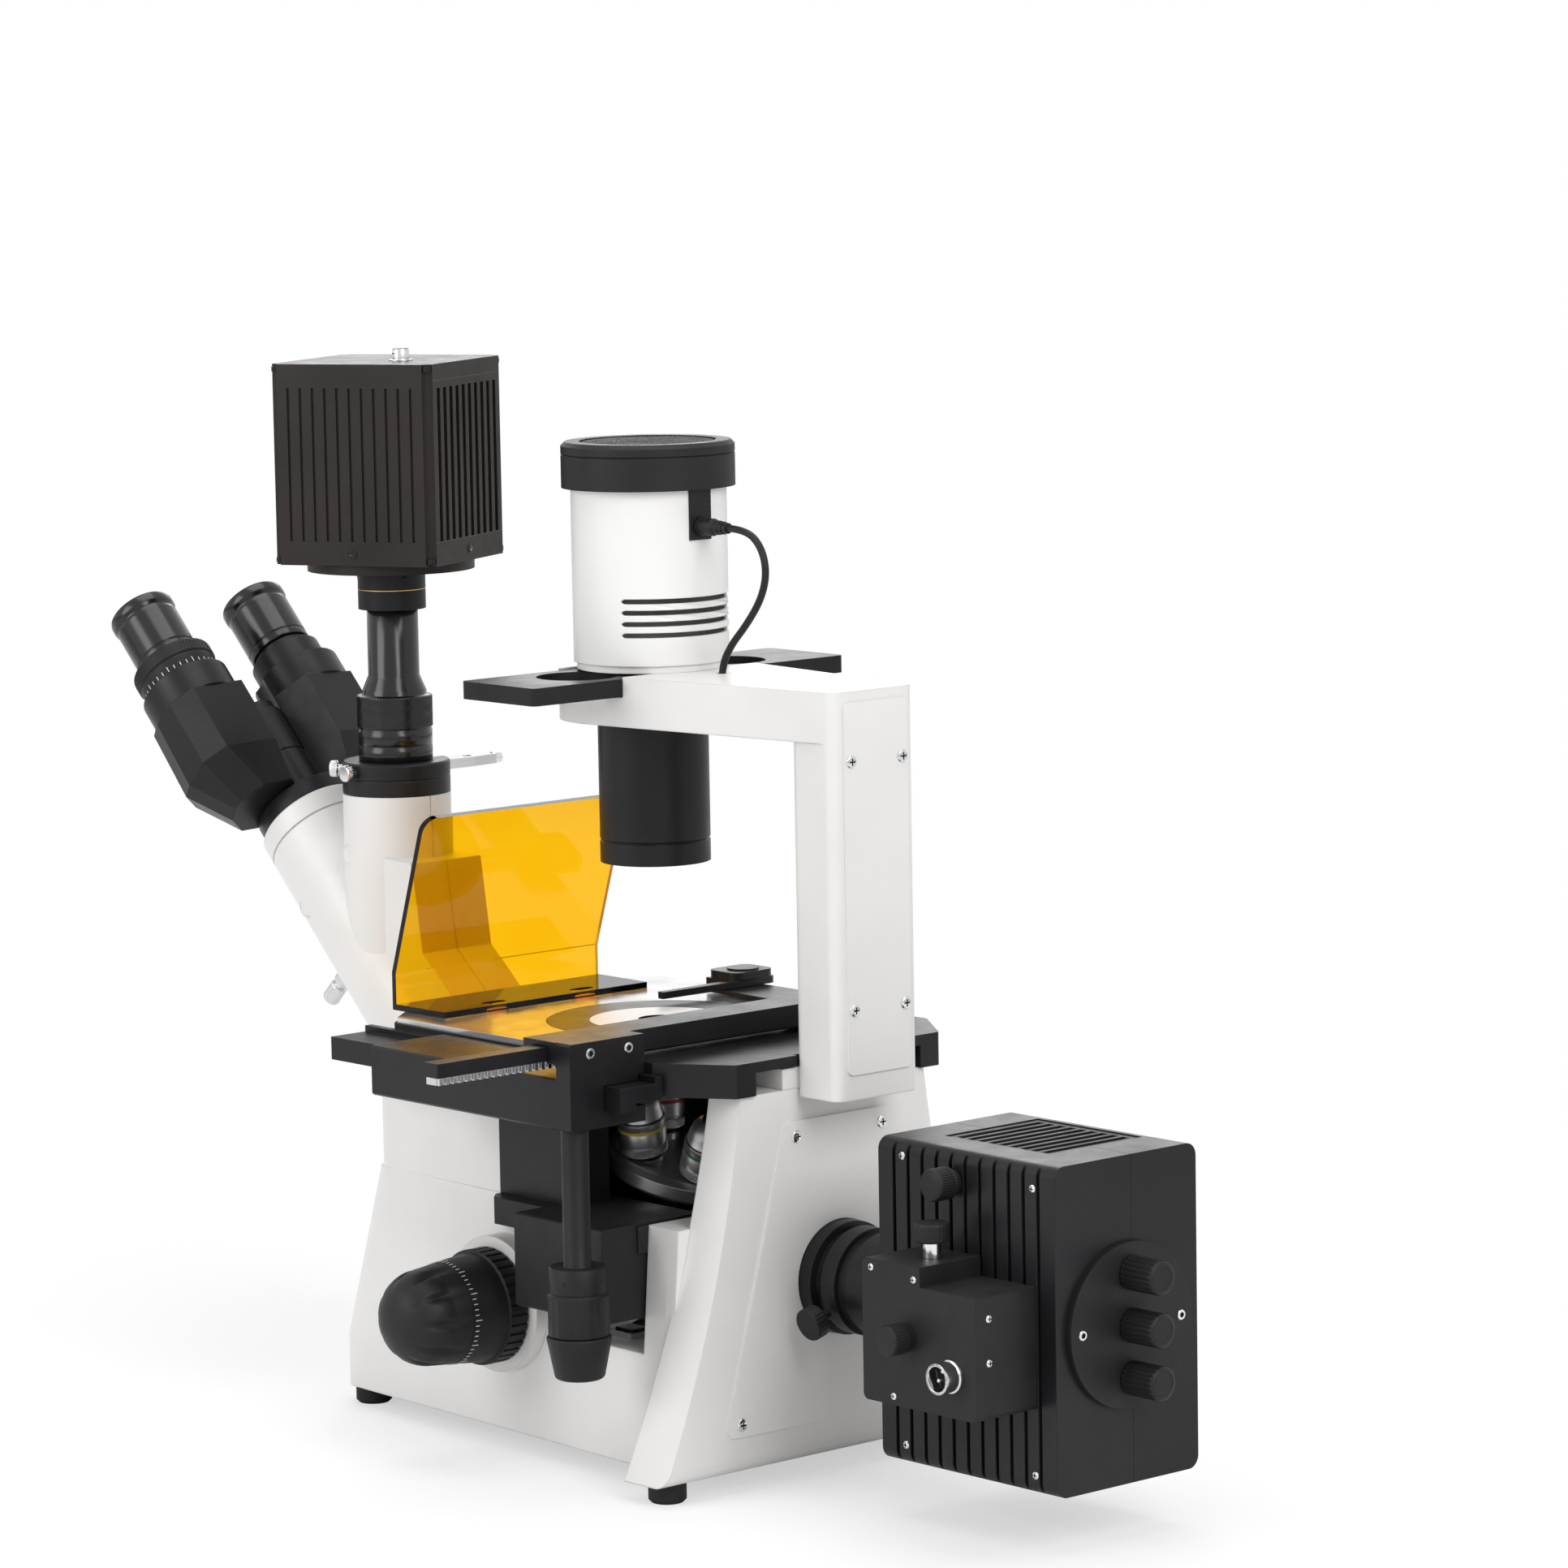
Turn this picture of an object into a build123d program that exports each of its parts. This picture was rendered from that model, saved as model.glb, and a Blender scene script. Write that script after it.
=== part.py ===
from build123d import *
from math import cos, radians, sin, sqrt, tan
import os

os.makedirs("parts", exist_ok=True)

# Inverted microscope with transmitted light, a fluorescence lamphouse and a camera.
# Modelled about the optical axis: +X is the user's right, +Y runs to the rear, Z = 0 is the bench.

# Clearances
running_fit = 0.05
slide_gap = 0.25
free_gap = 0.3
seam = 0.2
seam_shift = 0.05

# Levels above the bench
base_bottom = 9.5
deck_level = 63
tray_bottom = 111
step_level = 124
stage_bottom = 187.5
stage_top = 203.4
arm_bottom = 351
arm_top = 375

# Base casting
base_front = -165
base_front_half = 74
base_rear_half = 87
upright_level = 35
front_corner = 14
step_front = -138
step_front_half = 72
step_rear_half = 79
pillar_front = -131
pillar_rear = -31
pillar_front_half = 72
pillar_rear_half = 76
pillar_corner = 6
body_rear = 104
deck_front = 10
deck_rear = 82
core_half = 40
tower_rear = 128
tower_front_foot = 98
tower_front_top = 106
tower_foot_half = 110
tower_low_half = 93
tower_low_level = 52
tower_mid_half = 75
tower_mid_level = 110
tower_top_half = 60
tower_corner = 8
cavity_wall = 8
cavity_height = 16
plate_thickness = 2.5
plate_ledge = 4

# Light path inside the base
path_level = 44
channel_half = 13
channel_floor = 32
channel_top = 56
channel_front = -54
channel_rear = 17
eye_bore = 12
down_bore = 17
mirror_half = 11
epi_level = 95
epi_bore = 17

# Feet
foot_radius = 9
foot_spread_front = 62
foot_front = -153
foot_spread_rear = 95.6
foot_rear = 112

# Focus knobs on one shaft across the base
knob_y = -25
knob_level = 72
boss_radius = 33
boss_face = 87
coarse_shaft = 6
fine_shaft = 3
coarse_radius = 28
coarse_ring = 10
coarse_length = 30
coarse_end_radius = 24.5
fine_length = 31
fine_band = 9
fine_radius = 23.5
knob_ridges = 36
dial_y = -110
dial_level = 60
dial_start = base_front_half + 4
rocker_x = 54
rocker_y = 45
rocker_relief = 2.5

# Binocular head
photo_y = -202
port_top = 297.5
port_radius = 27.35
neck_radius = 29.4
flange_y = -271.5
flange_level = 276.7
collar_length = 12
collar_groove = 0.8
neck_length = 195

# Photo tube
clamp_height = 16.5
tube_radius = 18.75
tube_top = 350
thin_radius = 12.95
thin_top = 391
mount_radius = 17.1
mount_height = 20
camera_bottom = 416
camera_side = 88
camera_height = 100.5
camera_turn = 26.8
camera_flange_radius = 42.2
camera_flange_height = 5
camera_band = 12
camera_corner = 4
shallow_grooves = 11
deep_grooves = 10

# Binocular tubes, measured along the tilted axis from the flange face
hub_disc = 10
hub_disc_radius = 27
axle_radius = 8
axle_bore = 5
knuckle_radius = 14
left_knuckle = (12, 38)
right_knuckle = (38.6, 66)
prism_end = 89.7
eye_offset = 36
eye_rise = 5
eyetube_radius = 15.5
diopter_radius = 22
diopter_length = 17
eyepiece_length = 36
eyepiece_radius = 16.75
eyecup_radius = 17.5
eyecup_length = 6

# Illumination column and arm
column_half = 26
column_front = 127.4
column_rear = 158
column_foot = 184
column_corner = 6
nose_radius = 45
step_foot_half = 34
step_foot_front = 108
step_foot_height = 10
slider_half = 27.25
slider_thick = 8.5
slider_top = 374
slider_left = -100
slider_right = 96
slider_pitch = 47
slider_hole = 19.5
slider_ledge = 16.5
condenser_radius = 26.75
condenser_bottom = 281
condenser_bore = 21
lamp_radius = 37.5
lamp_wall = 2
lamp_bottom = 378.5
lamp_top = 462
cap_radius = 41.85
cap_height = 22
grille_radius = 33
vent_count = 4
vent_pitch = 5.4
vent_height = 2.4
vent_first = 409.5
vent_spread = 33
cable_slot = 13
cable_slot_low = 438
cord_radius = 1.75

# Stage
stage_half = 87
stage_front = -118
stage_rear = 130
stage_front_chamfer = (25.5, 21)
stage_rear_chamfer = (23, 33)
stage_skirt = 9
stage_web = 6
plate_rear = 50
plate_inset = 1.5
insert_radius = 54.5
insert_thick = 2.6
insert_disc_radius = 34
insert_hole = 10
stage_opening = 50
guide_width = 25
guide_front = -115
guide_rear = 104
guide_top = 195.2
guide_bottom = 187.5
rack_bottom = 184
rack_width = 9

# Mechanical stage
carriage_outer = 132.3
carriage_front = -57
carriage_rear = 92
carriage_bottom = 176
carriage_top = 200
bracket_thick = 10
rail_front = 58.6
rail_rear = 81.6
rail_bottom = 206.6
rail_top = 217
rail_left = -92
bar_front = 66
bar_rear = 76
bar_bottom = 204.3
bar_top = 214.4
bar_left = -84
bar_right = 197
rack_tooth = 2
drive_x = 122
drive_y = 82
drive_shaft = 6.5
drive_core = 3.4
drive_collar = 13.25
drive_knob = 15
drive_low_radius = 15.3
drive_end_radius = 11.5
shaft_bottom = 111
upper_knob_top = 98.5
upper_knob_bottom = 78.6
lower_knob_bottom = 58

# Nosepiece
turret_lean = 15
turret_y = 27
turret_level = 140
turret_radius = 44
turret_thick = 10
objective_count = 5
objective_length = 37
objective_radius = 11.8
pivot_radius = 6
housing_rear = 24
housing_half = 76
pocket_half = 52
pocket_front = -23

# Fluorescence port and lamphouse
ring_radius = 27
ring_bore = 18
lamphouse_half = 44.5
lamphouse_front = 205
lamphouse_rear = 320
lamphouse_bottom = 27
lamphouse_top = 177
lamphouse_wall = 3.5
lamphouse_split = -3
lamphouse_corner = 6
rib_count = 12
rib_pitch = 9.4
disc_radius = 38
disc_level = 100
disc_thick = 3
adjuster_radius = 8
adjuster_length = 20
adjuster_pitch = 24
socket_right = 82
socket_front = 234
socket_rear = 308
socket_bottom = 66
socket_top = 131

# Directions of the tilted tubes and of the nosepiece
slope = sqrt(0.5)
eye_direction = Vector(0, -slope, slope)
eye_up = Vector(0, slope, slope)
flange_centre = Vector(0, flange_y, flange_level)
turret_direction = Vector(0, sin(radians(turret_lean)), cos(radians(turret_lean)))


def shaft_plane(origin, direction):
    """Plane whose own Y axis runs along a shaft, so an outline is (radius, distance along it)."""
    along = Vector(direction).normalized()
    side = Vector(1, 0, 0) if abs(along.X) < 0.9 else Vector(0, 0, 1)
    side = (side - along * side.dot(along)).normalized()
    return Plane(origin=origin, x_dir=side, z_dir=side.cross(along))


def turned(origin, direction, outline, mode=Mode.ADD):
    """Revolve a closed outline of (radius, distance along the shaft) points."""
    plane = shaft_plane(origin, direction)
    with BuildSketch(plane) as section:
        with BuildLine():
            Polyline(*outline, close=True)
        make_face()
    revolve(section.sketch, axis=Axis(plane.origin, plane.y_dir), mode=mode)


def tube(origin, direction, outer, inner, start, end, mode=Mode.ADD):
    """Plain ring or tube between two distances along a shaft."""
    outline = [(inner, start), (outer, start), (outer, end), (inner, end)]
    turned(origin, direction, outline, mode)


def block(low, high, mode=Mode.ADD):
    """Box between two corners, drawn in plan and pulled up."""
    with BuildSketch(Plane.XY.offset(low[2])) as outline:
        with Locations(((low[0] + high[0]) / 2, (low[1] + high[1]) / 2)):
            Rectangle(high[0] - low[0], high[1] - low[1])
    extrude(outline.sketch, amount=high[2] - low[2], mode=mode)


def plan(front, rear, front_half, rear_half, corner):
    """Plan of a casting that widens to the rear and has round front corners."""
    with BuildLine() as outline:
        Polyline(
            (front_half, front), (rear_half, rear), (-rear_half, rear), (-front_half, front), close=True
        )
    make_face(outline.line.edges())
    fillet(vertices().group_by(Axis.Y)[0], corner)


def side_profile(half, *points, mode=Mode.ADD):
    """Outline of (y, z) points pulled out to both sides of the middle plane."""
    with BuildSketch(Plane.YZ) as section:
        with BuildLine():
            Polyline(*points, close=True)
        make_face()
    extrude(section.sketch, amount=half, both=True, mode=mode)


def gathered(*builders):
    """One piece that holds the separate solids of several builders."""
    return Part(Compound([solid for builder in builders for solid in builder.part.solids()]).wrapped)


# Tower at the rear of the base, which flares out to wide feet
with BuildPart() as tower:
    with BuildSketch(Plane.XZ.offset(-tower_rear)):
        with BuildLine():
            flare = Spline(
                (tower_foot_half, base_bottom),
                (tower_low_half, tower_low_level),
                (tower_mid_half, tower_mid_level),
                (tower_top_half, stage_bottom),
            )
            Line(flare @ 1, (0, stage_bottom))
            Line(flare @ 0, (0, base_bottom))
            mirror(about=Plane.YZ)
        make_face()
    extrude(amount=tower_rear - tower_front_foot)
    rear_edges = edges().group_by(Axis.Y)[-1]
    fillet(rear_edges.sort_by(Edge.length)[-2:], tower_corner)
    side_profile(
        2 * tower_foot_half,
        (tower_front_foot, base_bottom),
        (tower_rear, base_bottom),
        (tower_rear, stage_bottom),
        (tower_front_top, stage_bottom),
        mode=Mode.INTERSECT,
    )

# Base casting: body, front pillar, deck, hump and tower in one
with BuildPart() as base_casting:
    with BuildSketch(Plane.XY.offset(base_bottom)):
        plan(base_front, body_rear, base_front_half, base_rear_half, front_corner)
    with BuildSketch(Plane.XY.offset(upright_level)):
        plan(base_front, body_rear, base_front_half, base_rear_half - 1, front_corner)
    with BuildSketch(Plane.XY.offset(step_level)):
        plan(step_front, body_rear, step_front_half, step_rear_half, front_corner)
    loft(ruled=True)
    with BuildSketch(Plane.XY.offset(step_level)):
        plan(pillar_front, pillar_rear, pillar_front_half, pillar_rear_half, pillar_corner)
    extrude(amount=stage_bottom - step_level)
    for side in (-1, 1):
        with BuildSketch(Plane.YZ.offset(side * boss_face)):
            with Locations((knob_y, knob_level)):
                Circle(boss_radius)
        extrude(amount=-side * (boss_face - core_half))
    block((-120, pillar_rear, tray_bottom), (120, deck_rear, step_level), Mode.SUBTRACT)
    for side in (-1, 1):
        inner, outer = sorted((side * core_half, side * 120))
        block((inner, deck_front, deck_level), (outer, deck_rear, tray_bottom), Mode.SUBTRACT)
    add(tower.part)
    cavity_front = base_front + cavity_wall
    cavity_rear = body_rear - cavity_wall
    with BuildSketch(Plane.XY.offset(base_bottom)) as cavity:
        plan(
            cavity_front,
            cavity_rear,
            base_front_half - cavity_wall,
            base_rear_half - cavity_wall,
            front_corner - cavity_wall / 2,
        )
    extrude(amount=cavity_height, mode=Mode.SUBTRACT)
    with BuildSketch(Plane.XY.offset(base_bottom)) as rebate:
        add(cavity.sketch)
        offset(amount=plate_ledge, kind=Kind.INTERSECTION)
    extrude(amount=plate_thickness, mode=Mode.SUBTRACT)
    block(
        (-channel_half, channel_front, channel_floor), (channel_half, channel_rear, channel_top), Mode.SUBTRACT
    )
    tube((0, 0, 0), (0, 0, 1), down_bore, 0, channel_top, tray_bottom, Mode.SUBTRACT)
    tube((0, 0, epi_level), (0, 1, 0), epi_bore, 0, 0, tower_rear, Mode.SUBTRACT)
    bend_y = flange_y + flange_level - path_level
    tube((0, bend_y, path_level), eye_direction, eye_bore, 0, 0, neck_length, Mode.SUBTRACT)
    tube(
        (0, knob_y, knob_level), (1, 0, 0), coarse_shaft + running_fit, 0, -boss_face, boss_face, Mode.SUBTRACT
    )
    tube((0, dial_y, dial_level), (-1, 0, 0), fine_shaft + running_fit, 0, dial_start - 16, dial_start, Mode.SUBTRACT)
    block(
        (rocker_x - 10.6, rocker_y - 6.3, deck_level - rocker_relief),
        (rocker_x + 10.6, rocker_y + 6.3, deck_level),
        Mode.SUBTRACT,
    )

# The tower and the hump before it are a casting of their own on the body
with BuildPart() as tower_region:
    block((-150, tower_front_foot + seam_shift, 0), (150, tower_rear + 5, stage_bottom + 5))
    block((-150, deck_rear, tray_bottom), (150, tower_rear + 5, stage_bottom + 5))
with BuildPart() as body_half:
    add(base_casting.part)
    add(tower_region.part, mode=Mode.SUBTRACT)
with BuildPart() as tower_half:
    add(base_casting.part)
    add(tower_region.part, mode=Mode.INTERSECT)
base_casting.part = gathered(body_half, tower_half)
base_casting.part.label = "base_casting"

# Bottom plate with four posts for the power board
post_height = 5
board_half_x = 45
board_half_y = 30
with BuildPart() as bottom_plate:
    with BuildSketch(Plane.XY.offset(base_bottom)):
        add(cavity.sketch)
        offset(amount=plate_ledge - slide_gap, kind=Kind.INTERSECTION)
    extrude(amount=plate_thickness)
    with BuildSketch(Plane.XY.offset(base_bottom + plate_thickness)):
        with GridLocations(2 * board_half_x - 10, 2 * board_half_y - 10, 2, 2):
            Circle(3)
    extrude(amount=post_height)
bottom_plate.part.label = "bottom_plate"

with BuildPart() as power_board:
    board_level = base_bottom + plate_thickness + post_height
    block((-board_half_x, -board_half_y, board_level), (board_half_x, board_half_y, board_level + 1.6))
    block((-30, -18, board_level + 1.6), (-8, 4, board_level + 6))
    block((8, -12, board_level + 1.6), (30, 16, board_level + 5))

with BuildPart() as rubber_feet:
    for foot_x, foot_y in (
        (foot_spread_front, foot_front),
        (-foot_spread_front, foot_front),
        (foot_spread_rear, foot_rear),
        (-foot_spread_rear, foot_rear),
    ):
        turned(
            (foot_x, foot_y, 0),
            (0, 0, 1),
            [(0, 0), (foot_radius - 1.5, 0), (foot_radius, 1.5), (foot_radius, base_bottom), (0, base_bottom)],
        )
rubber_feet.part.label = "rubber_feet"

# Mirrors and lenses of the light path
with BuildPart() as mirrors:
    side_profile(
        mirror_half,
        (-mirror_half, channel_floor),
        (mirror_half, channel_floor),
        (mirror_half, channel_floor + 2 * mirror_half),
    )
    side_profile(
        mirror_half,
        (bend_y - mirror_half, channel_floor),
        (bend_y + mirror_half, channel_floor),
        (bend_y + mirror_half, path_level - mirror_half * tan(radians(22.5))),
        (bend_y - mirror_half, path_level + mirror_half * tan(radians(22.5))),
    )
with BuildPart() as dichroic:
    tube((0, 0, epi_level), (0, 1, 1), 2 * down_bore, 0, -1, 1)
    tube((0, 0, 0), (0, 0, 1), down_bore - running_fit, 0, channel_top, tray_bottom, Mode.INTERSECT)
mirrors.part = gathered(mirrors, dichroic)
mirrors.part.label = "mirrors"

relay_distance = 70
with BuildPart() as lenses:
    tube((0, bend_y, path_level), eye_direction, eye_bore - running_fit, 0, relay_distance, relay_distance + 5)
    tube((0, 0, 0), (0, 0, 1), condenser_bore - running_fit, 0, condenser_bottom + 6, condenser_bottom + 14)
    tube((0, 0, 0), (0, 0, 1), condenser_bore - running_fit, 0, arm_bottom - 14, arm_bottom - 8)
lenses.part.label = "lenses"

# Rear cover, which the fluorescence port comes through
cover_thick = 1.2
cover_top = 172.4
cover_low = 27.6
cover_top_half = 33
cover_low_half = 73.6
with BuildPart() as rear_covers:
    with BuildSketch(Plane.XZ.offset(-tower_rear)):
        with BuildLine():
            Polyline(
                (cover_top_half, cover_top),
                (cover_low_half, cover_low),
                (-cover_low_half, cover_low),
                (-cover_top_half, cover_top),
                close=True,
            )
        make_face()
        fillet(vertices(), 4)
        with Locations((0, epi_level)):
            Circle(ring_radius + free_gap, mode=Mode.SUBTRACT)
    extrude(amount=-cover_thick)

# Illumination column: upright, arm and rounded nose in one casting
with BuildPart() as illumination_column:
    with BuildSketch(Plane.XY.offset(arm_bottom)):
        Circle(nose_radius)
        with Locations((0, column_rear - column_corner)):
            Rectangle(2 * column_half, 0.5)
        make_hull()
        fillet(vertices().group_by(Axis.Y)[-1], 0.2)
    extrude(amount=arm_top - arm_bottom)
    with BuildSketch(Plane.XY.offset(column_foot)):
        with Locations((0, (column_front + column_rear) / 2)):
            RectangleRounded(2 * column_half, column_rear - column_front, column_corner)
    extrude(amount=arm_top - column_foot)
    block(
        (-step_foot_half, step_foot_front, stage_bottom),
        (step_foot_half, tower_rear, stage_bottom + step_foot_height),
    )
    block((-tower_top_half, 60, column_foot - 1), (tower_top_half, tower_rear, stage_bottom), Mode.SUBTRACT)
    block(
        (-nose_radius - 5, -slider_half - slide_gap, slider_top - slider_thick - slide_gap),
        (nose_radius + 5, slider_half + slide_gap, arm_top),
        Mode.SUBTRACT,
    )
    tube((0, 0, 0), (0, 0, 1), condenser_bore, 0, arm_bottom, arm_top, Mode.SUBTRACT)
    tube((0, 51, 0), (0, 0, 1), cord_radius + 0.6, 0, arm_top - 8, arm_top, Mode.SUBTRACT)
illumination_column.part.label = "illumination_column"

column_cover_half = 20
with BuildPart() as column_cover:
    with BuildSketch(Plane.XZ.offset(-column_rear)):
        with Locations((0, (196 + 370) / 2)):
            RectangleRounded(2 * column_cover_half, 370 - 196, 3)
    extrude(amount=-cover_thick)
rear_covers.part = gathered(rear_covers, column_cover)
rear_covers.part.label = "rear_covers"

with BuildPart() as cover_screws:
    for x, z in ((27, 165), (-27, 165), (64, 33.5), (-64, 33.5)):
        tube((x, tower_rear, z), (0, 1, 0), 2.8, 0, cover_thick, cover_thick + 0.8)
    for x in (-16, 16):
        for z in (226.5, 342.5):
            tube((x, column_rear, z), (0, 1, 0), 2.8, 0, cover_thick, cover_thick + 0.8)
cover_screws.part.label = "cover_screws"

# Lamp seat above the slider and condenser tube below the arm
with BuildPart() as condenser_tube:
    turned(
        (0, 0, 0),
        (0, 0, 1),
        [
            (condenser_bore, condenser_bottom + 5),
            (condenser_bore - 2, condenser_bottom + 5),
            (condenser_bore - 2, condenser_bottom),
            (condenser_radius, condenser_bottom),
            (condenser_radius, condenser_bottom + 10),
            (condenser_radius - 0.8, condenser_bottom + 10.8),
            (condenser_radius, condenser_bottom + 11.6),
            (condenser_radius, arm_bottom),
            (condenser_bore, arm_bottom),
        ],
    )
    tube((0, 0, 0), (0, 0, 1), lamp_radius - 1.5, condenser_bore, arm_top, lamp_bottom)
condenser_tube.part.label = "condenser_tube"

# Phase slider with its three stations
with BuildPart() as phase_slider:
    with BuildSketch(Plane.XY.offset(slider_top - slider_thick)):
        with Locations(((slider_left + slider_right) / 2, 0)):
            RectangleRounded(slider_right - slider_left, 2 * slider_half, 3)
    extrude(amount=slider_thick)
    for station in (-1, 0, 1):
        tube(
            (station * slider_pitch, 0, slider_top),
            (0, 0, 1),
            slider_hole,
            0,
            2 - slider_thick,
            0,
            Mode.SUBTRACT,
        )
        tube((station * slider_pitch, 0, slider_top), (0, 0, 1), slider_ledge, 0, -slider_thick, 0, Mode.SUBTRACT)
phase_slider.part.label = "phase_slider"

# Lamp housing: white cylinder with vent slots and a cable slot at the rear
with BuildPart() as lamp_housing:
    tube((0, 0, 0), (0, 0, 1), lamp_radius, lamp_radius - lamp_wall, lamp_bottom, lamp_top)
    tube((0, 0, 0), (0, 0, 1), lamp_radius - lamp_wall, condenser_bore, lamp_bottom, lamp_bottom + 3)
    for step in range(vent_count):
        vent_level = vent_first - step * vent_pitch
        with BuildSketch(Plane.XZ.offset(-lamp_radius - 5)):
            with Locations((0, vent_level)):
                SlotOverall(2 * vent_spread, vent_height)
        extrude(amount=lamp_radius, mode=Mode.SUBTRACT)
    block((-cable_slot / 2, 20, cable_slot_low), (cable_slot / 2, 50, lamp_top), Mode.SUBTRACT)
lamp_housing.part.label = "lamp_housing"

with BuildPart() as lamp_cap:
    cap_top = lamp_top + cap_height
    turned(
        (0, 0, 0),
        (0, 0, 1),
        [
            (0, lamp_top + 5),
            (lamp_radius - 2 * lamp_wall, lamp_top + 5),
            (lamp_radius - 2 * lamp_wall, lamp_top),
            (cap_radius, lamp_top),
            (cap_radius, cap_top - 6.4),
            (cap_radius - 0.7, cap_top - 6),
            (cap_radius, cap_top - 5.6),
            (cap_radius, cap_top - 2),
            (cap_radius - 2, cap_top),
            (grille_radius, cap_top),
            (grille_radius, cap_top - 1.5),
            (0, cap_top - 1.5),
        ],
    )
    with BuildSketch(Plane.XY.offset(cap_top - 1.5)):
        with GridLocations(5, 5, 12, 12):
            Rectangle(3.6, 3.6)
        Circle(grille_radius - 3, mode=Mode.INTERSECT)
    extrude(amount=lamp_top + 5 - cap_top + 1.5, mode=Mode.SUBTRACT)
lamp_cap.part.label = "lamp_cap"

# Cable plug in the slot of the lamp housing and the short lead down to the arm
plug_end = 58
plug_level = 444.3
with BuildPart() as lamp_plug:
    block(
        (-cable_slot / 2, lamp_radius - 6, cable_slot_low),
        (cable_slot / 2, lamp_radius + 0.6, lamp_top - free_gap),
    )
    turned(
        (0, lamp_radius, plug_level),
        (0, 1, 0),
        [
            (0, 0),
            (4.2, 0),
            (4.2, 10),
            (3.2, 12),
            (cord_radius + 0.8, plug_end - lamp_radius),
            (0, plug_end - lamp_radius),
        ],
    )
lamp_plug.part.label = "lamp_plug"

lead_points = [
    (0, plug_end, plug_level),
    (0, 71, plug_level),
    (0, 81.5, 436.5),
    (0, 84.8, 424.5),
    (0, 80.5, 412),
    (0, 70, 399.5),
    (0, 58, 388.5),
    (0, 51.5, 378.5),
    (0, 51, arm_top - 6),
]
corners = [Vector(p) for p in lead_points]
radii = []
for before, here, after in zip(corners, corners[1:], corners[2:]):
    turn = (here - before).get_angle(after - here)
    run = min((here - before).length, (after - here).length)
    radii.append(0.45 * run / tan(radians(turn / 2)))
print("lead radii", [round(r, 1) for r in radii])
with BuildPart() as lamp_cord:
    with BuildLine():
        route = FilletPolyline(*lead_points, radius=radii)
    with BuildSketch(Plane(route @ 0, z_dir=route % 0)):
        Circle(cord_radius)
    sweep()
print("lead length", round(route.length, 1), "volume", round(lamp_cord.part.volume, 1))
lamp_cord.part.label = "lamp_cord"

# Halogen bulb under the cap and arc lamp in the rear lamphouse, each with its base
lamp_axis_y = 262
with BuildPart() as bulbs:
    turned(
        (0, 0, 0),
        (0, 0, 1),
        [(0, 420), (5, 422), (6, 430), (6, 444), (13, 444), (13, lamp_top + 5), (0, lamp_top + 5)],
    )
    turned(
        (0, lamp_axis_y, 0),
        (0, 0, 1),
        [
            (0, lamphouse_bottom + lamphouse_wall),
            (14, lamphouse_bottom + lamphouse_wall),
            (14, 60),
            (4, 64),
            (4, 90),
            (8, 98),
            (8, 106),
            (4, 114),
            (4, 134),
            (0, 134),
        ],
    )
bulbs.part.label = "bulbs"

# Stage casting: an eight-sided table on the pillar and the tower
with BuildPart() as stage_casting:
    front_x, front_y = stage_front_chamfer
    rear_x, rear_y = stage_rear_chamfer
    with BuildSketch(Plane.XY.offset(stage_bottom)) as stage_outline:
        with BuildLine():
            Polyline(
                (stage_half - front_x, stage_front),
                (stage_half, stage_front + front_y),
                (stage_half, stage_rear - rear_y),
                (stage_half - rear_x, stage_rear),
                (rear_x - stage_half, stage_rear),
                (-stage_half, stage_rear - rear_y),
                (-stage_half, stage_front + front_y),
                (front_x - stage_half, stage_front),
                close=True,
            )
        make_face()
        fillet(vertices(), 2)
    extrude(amount=stage_top - stage_bottom)
    tube((0, 0, 0), (0, 0, 1), stage_opening, 0, stage_bottom, stage_top, Mode.SUBTRACT)
    tube((0, 0, 0), (0, 0, 1), insert_radius + slide_gap, 0, stage_top - insert_thick, stage_top, Mode.SUBTRACT)
    block(
        (-stage_half + rear_x + 12, step_foot_front - 6, stage_bottom),
        (stage_half - rear_x - 12, stage_rear, stage_top - stage_web + 1),
        Mode.SUBTRACT,
    )
    block((-column_half - seam, column_front - seam, stage_bottom), (column_half + seam, stage_rear, stage_top), Mode.SUBTRACT)
    block((-stage_half, stage_front, stage_top - plate_thickness), (stage_half, plate_rear, stage_top), Mode.SUBTRACT)
    block((stage_half, guide_front, guide_bottom), (stage_half + guide_width, guide_rear, guide_top))
    block(
        (stage_half + guide_width - rack_width, guide_front, rack_bottom),
        (stage_half + guide_width, guide_rear, guide_bottom),
    )
    block((stage_half, guide_front, guide_top), (stage_half + 4, guide_rear, guide_top + 3))
stage_casting.part.label = "stage_casting"

with BuildPart() as stage_plate:
    with BuildSketch(Plane.XY.offset(stage_top - plate_thickness)):
        add(stage_outline.sketch)
        offset(amount=-plate_inset, kind=Kind.INTERSECTION)
        with Locations((0, plate_rear + 200)):
            Rectangle(400, 400, mode=Mode.SUBTRACT)
        Circle(insert_radius + slide_gap, mode=Mode.SUBTRACT)
    extrude(amount=plate_thickness)
stage_plate.part.label = "stage_plate"

with BuildPart() as stage_insert:
    tube((0, 0, stage_top), (0, 0, 1), insert_radius, insert_disc_radius, -insert_thick, 0)
    tube((0, 0, stage_top), (0, 0, 1), insert_disc_radius, insert_disc_radius - 3, -insert_thick, -1.5)

with BuildPart() as insert_disc:
    tube((0, 0, stage_top), (0, 0, 1), insert_disc_radius - slide_gap, insert_hole, -1.5, 0)
stage_insert.part = gathered(stage_insert, insert_disc)
stage_insert.part.label = "stage_insert"

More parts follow.
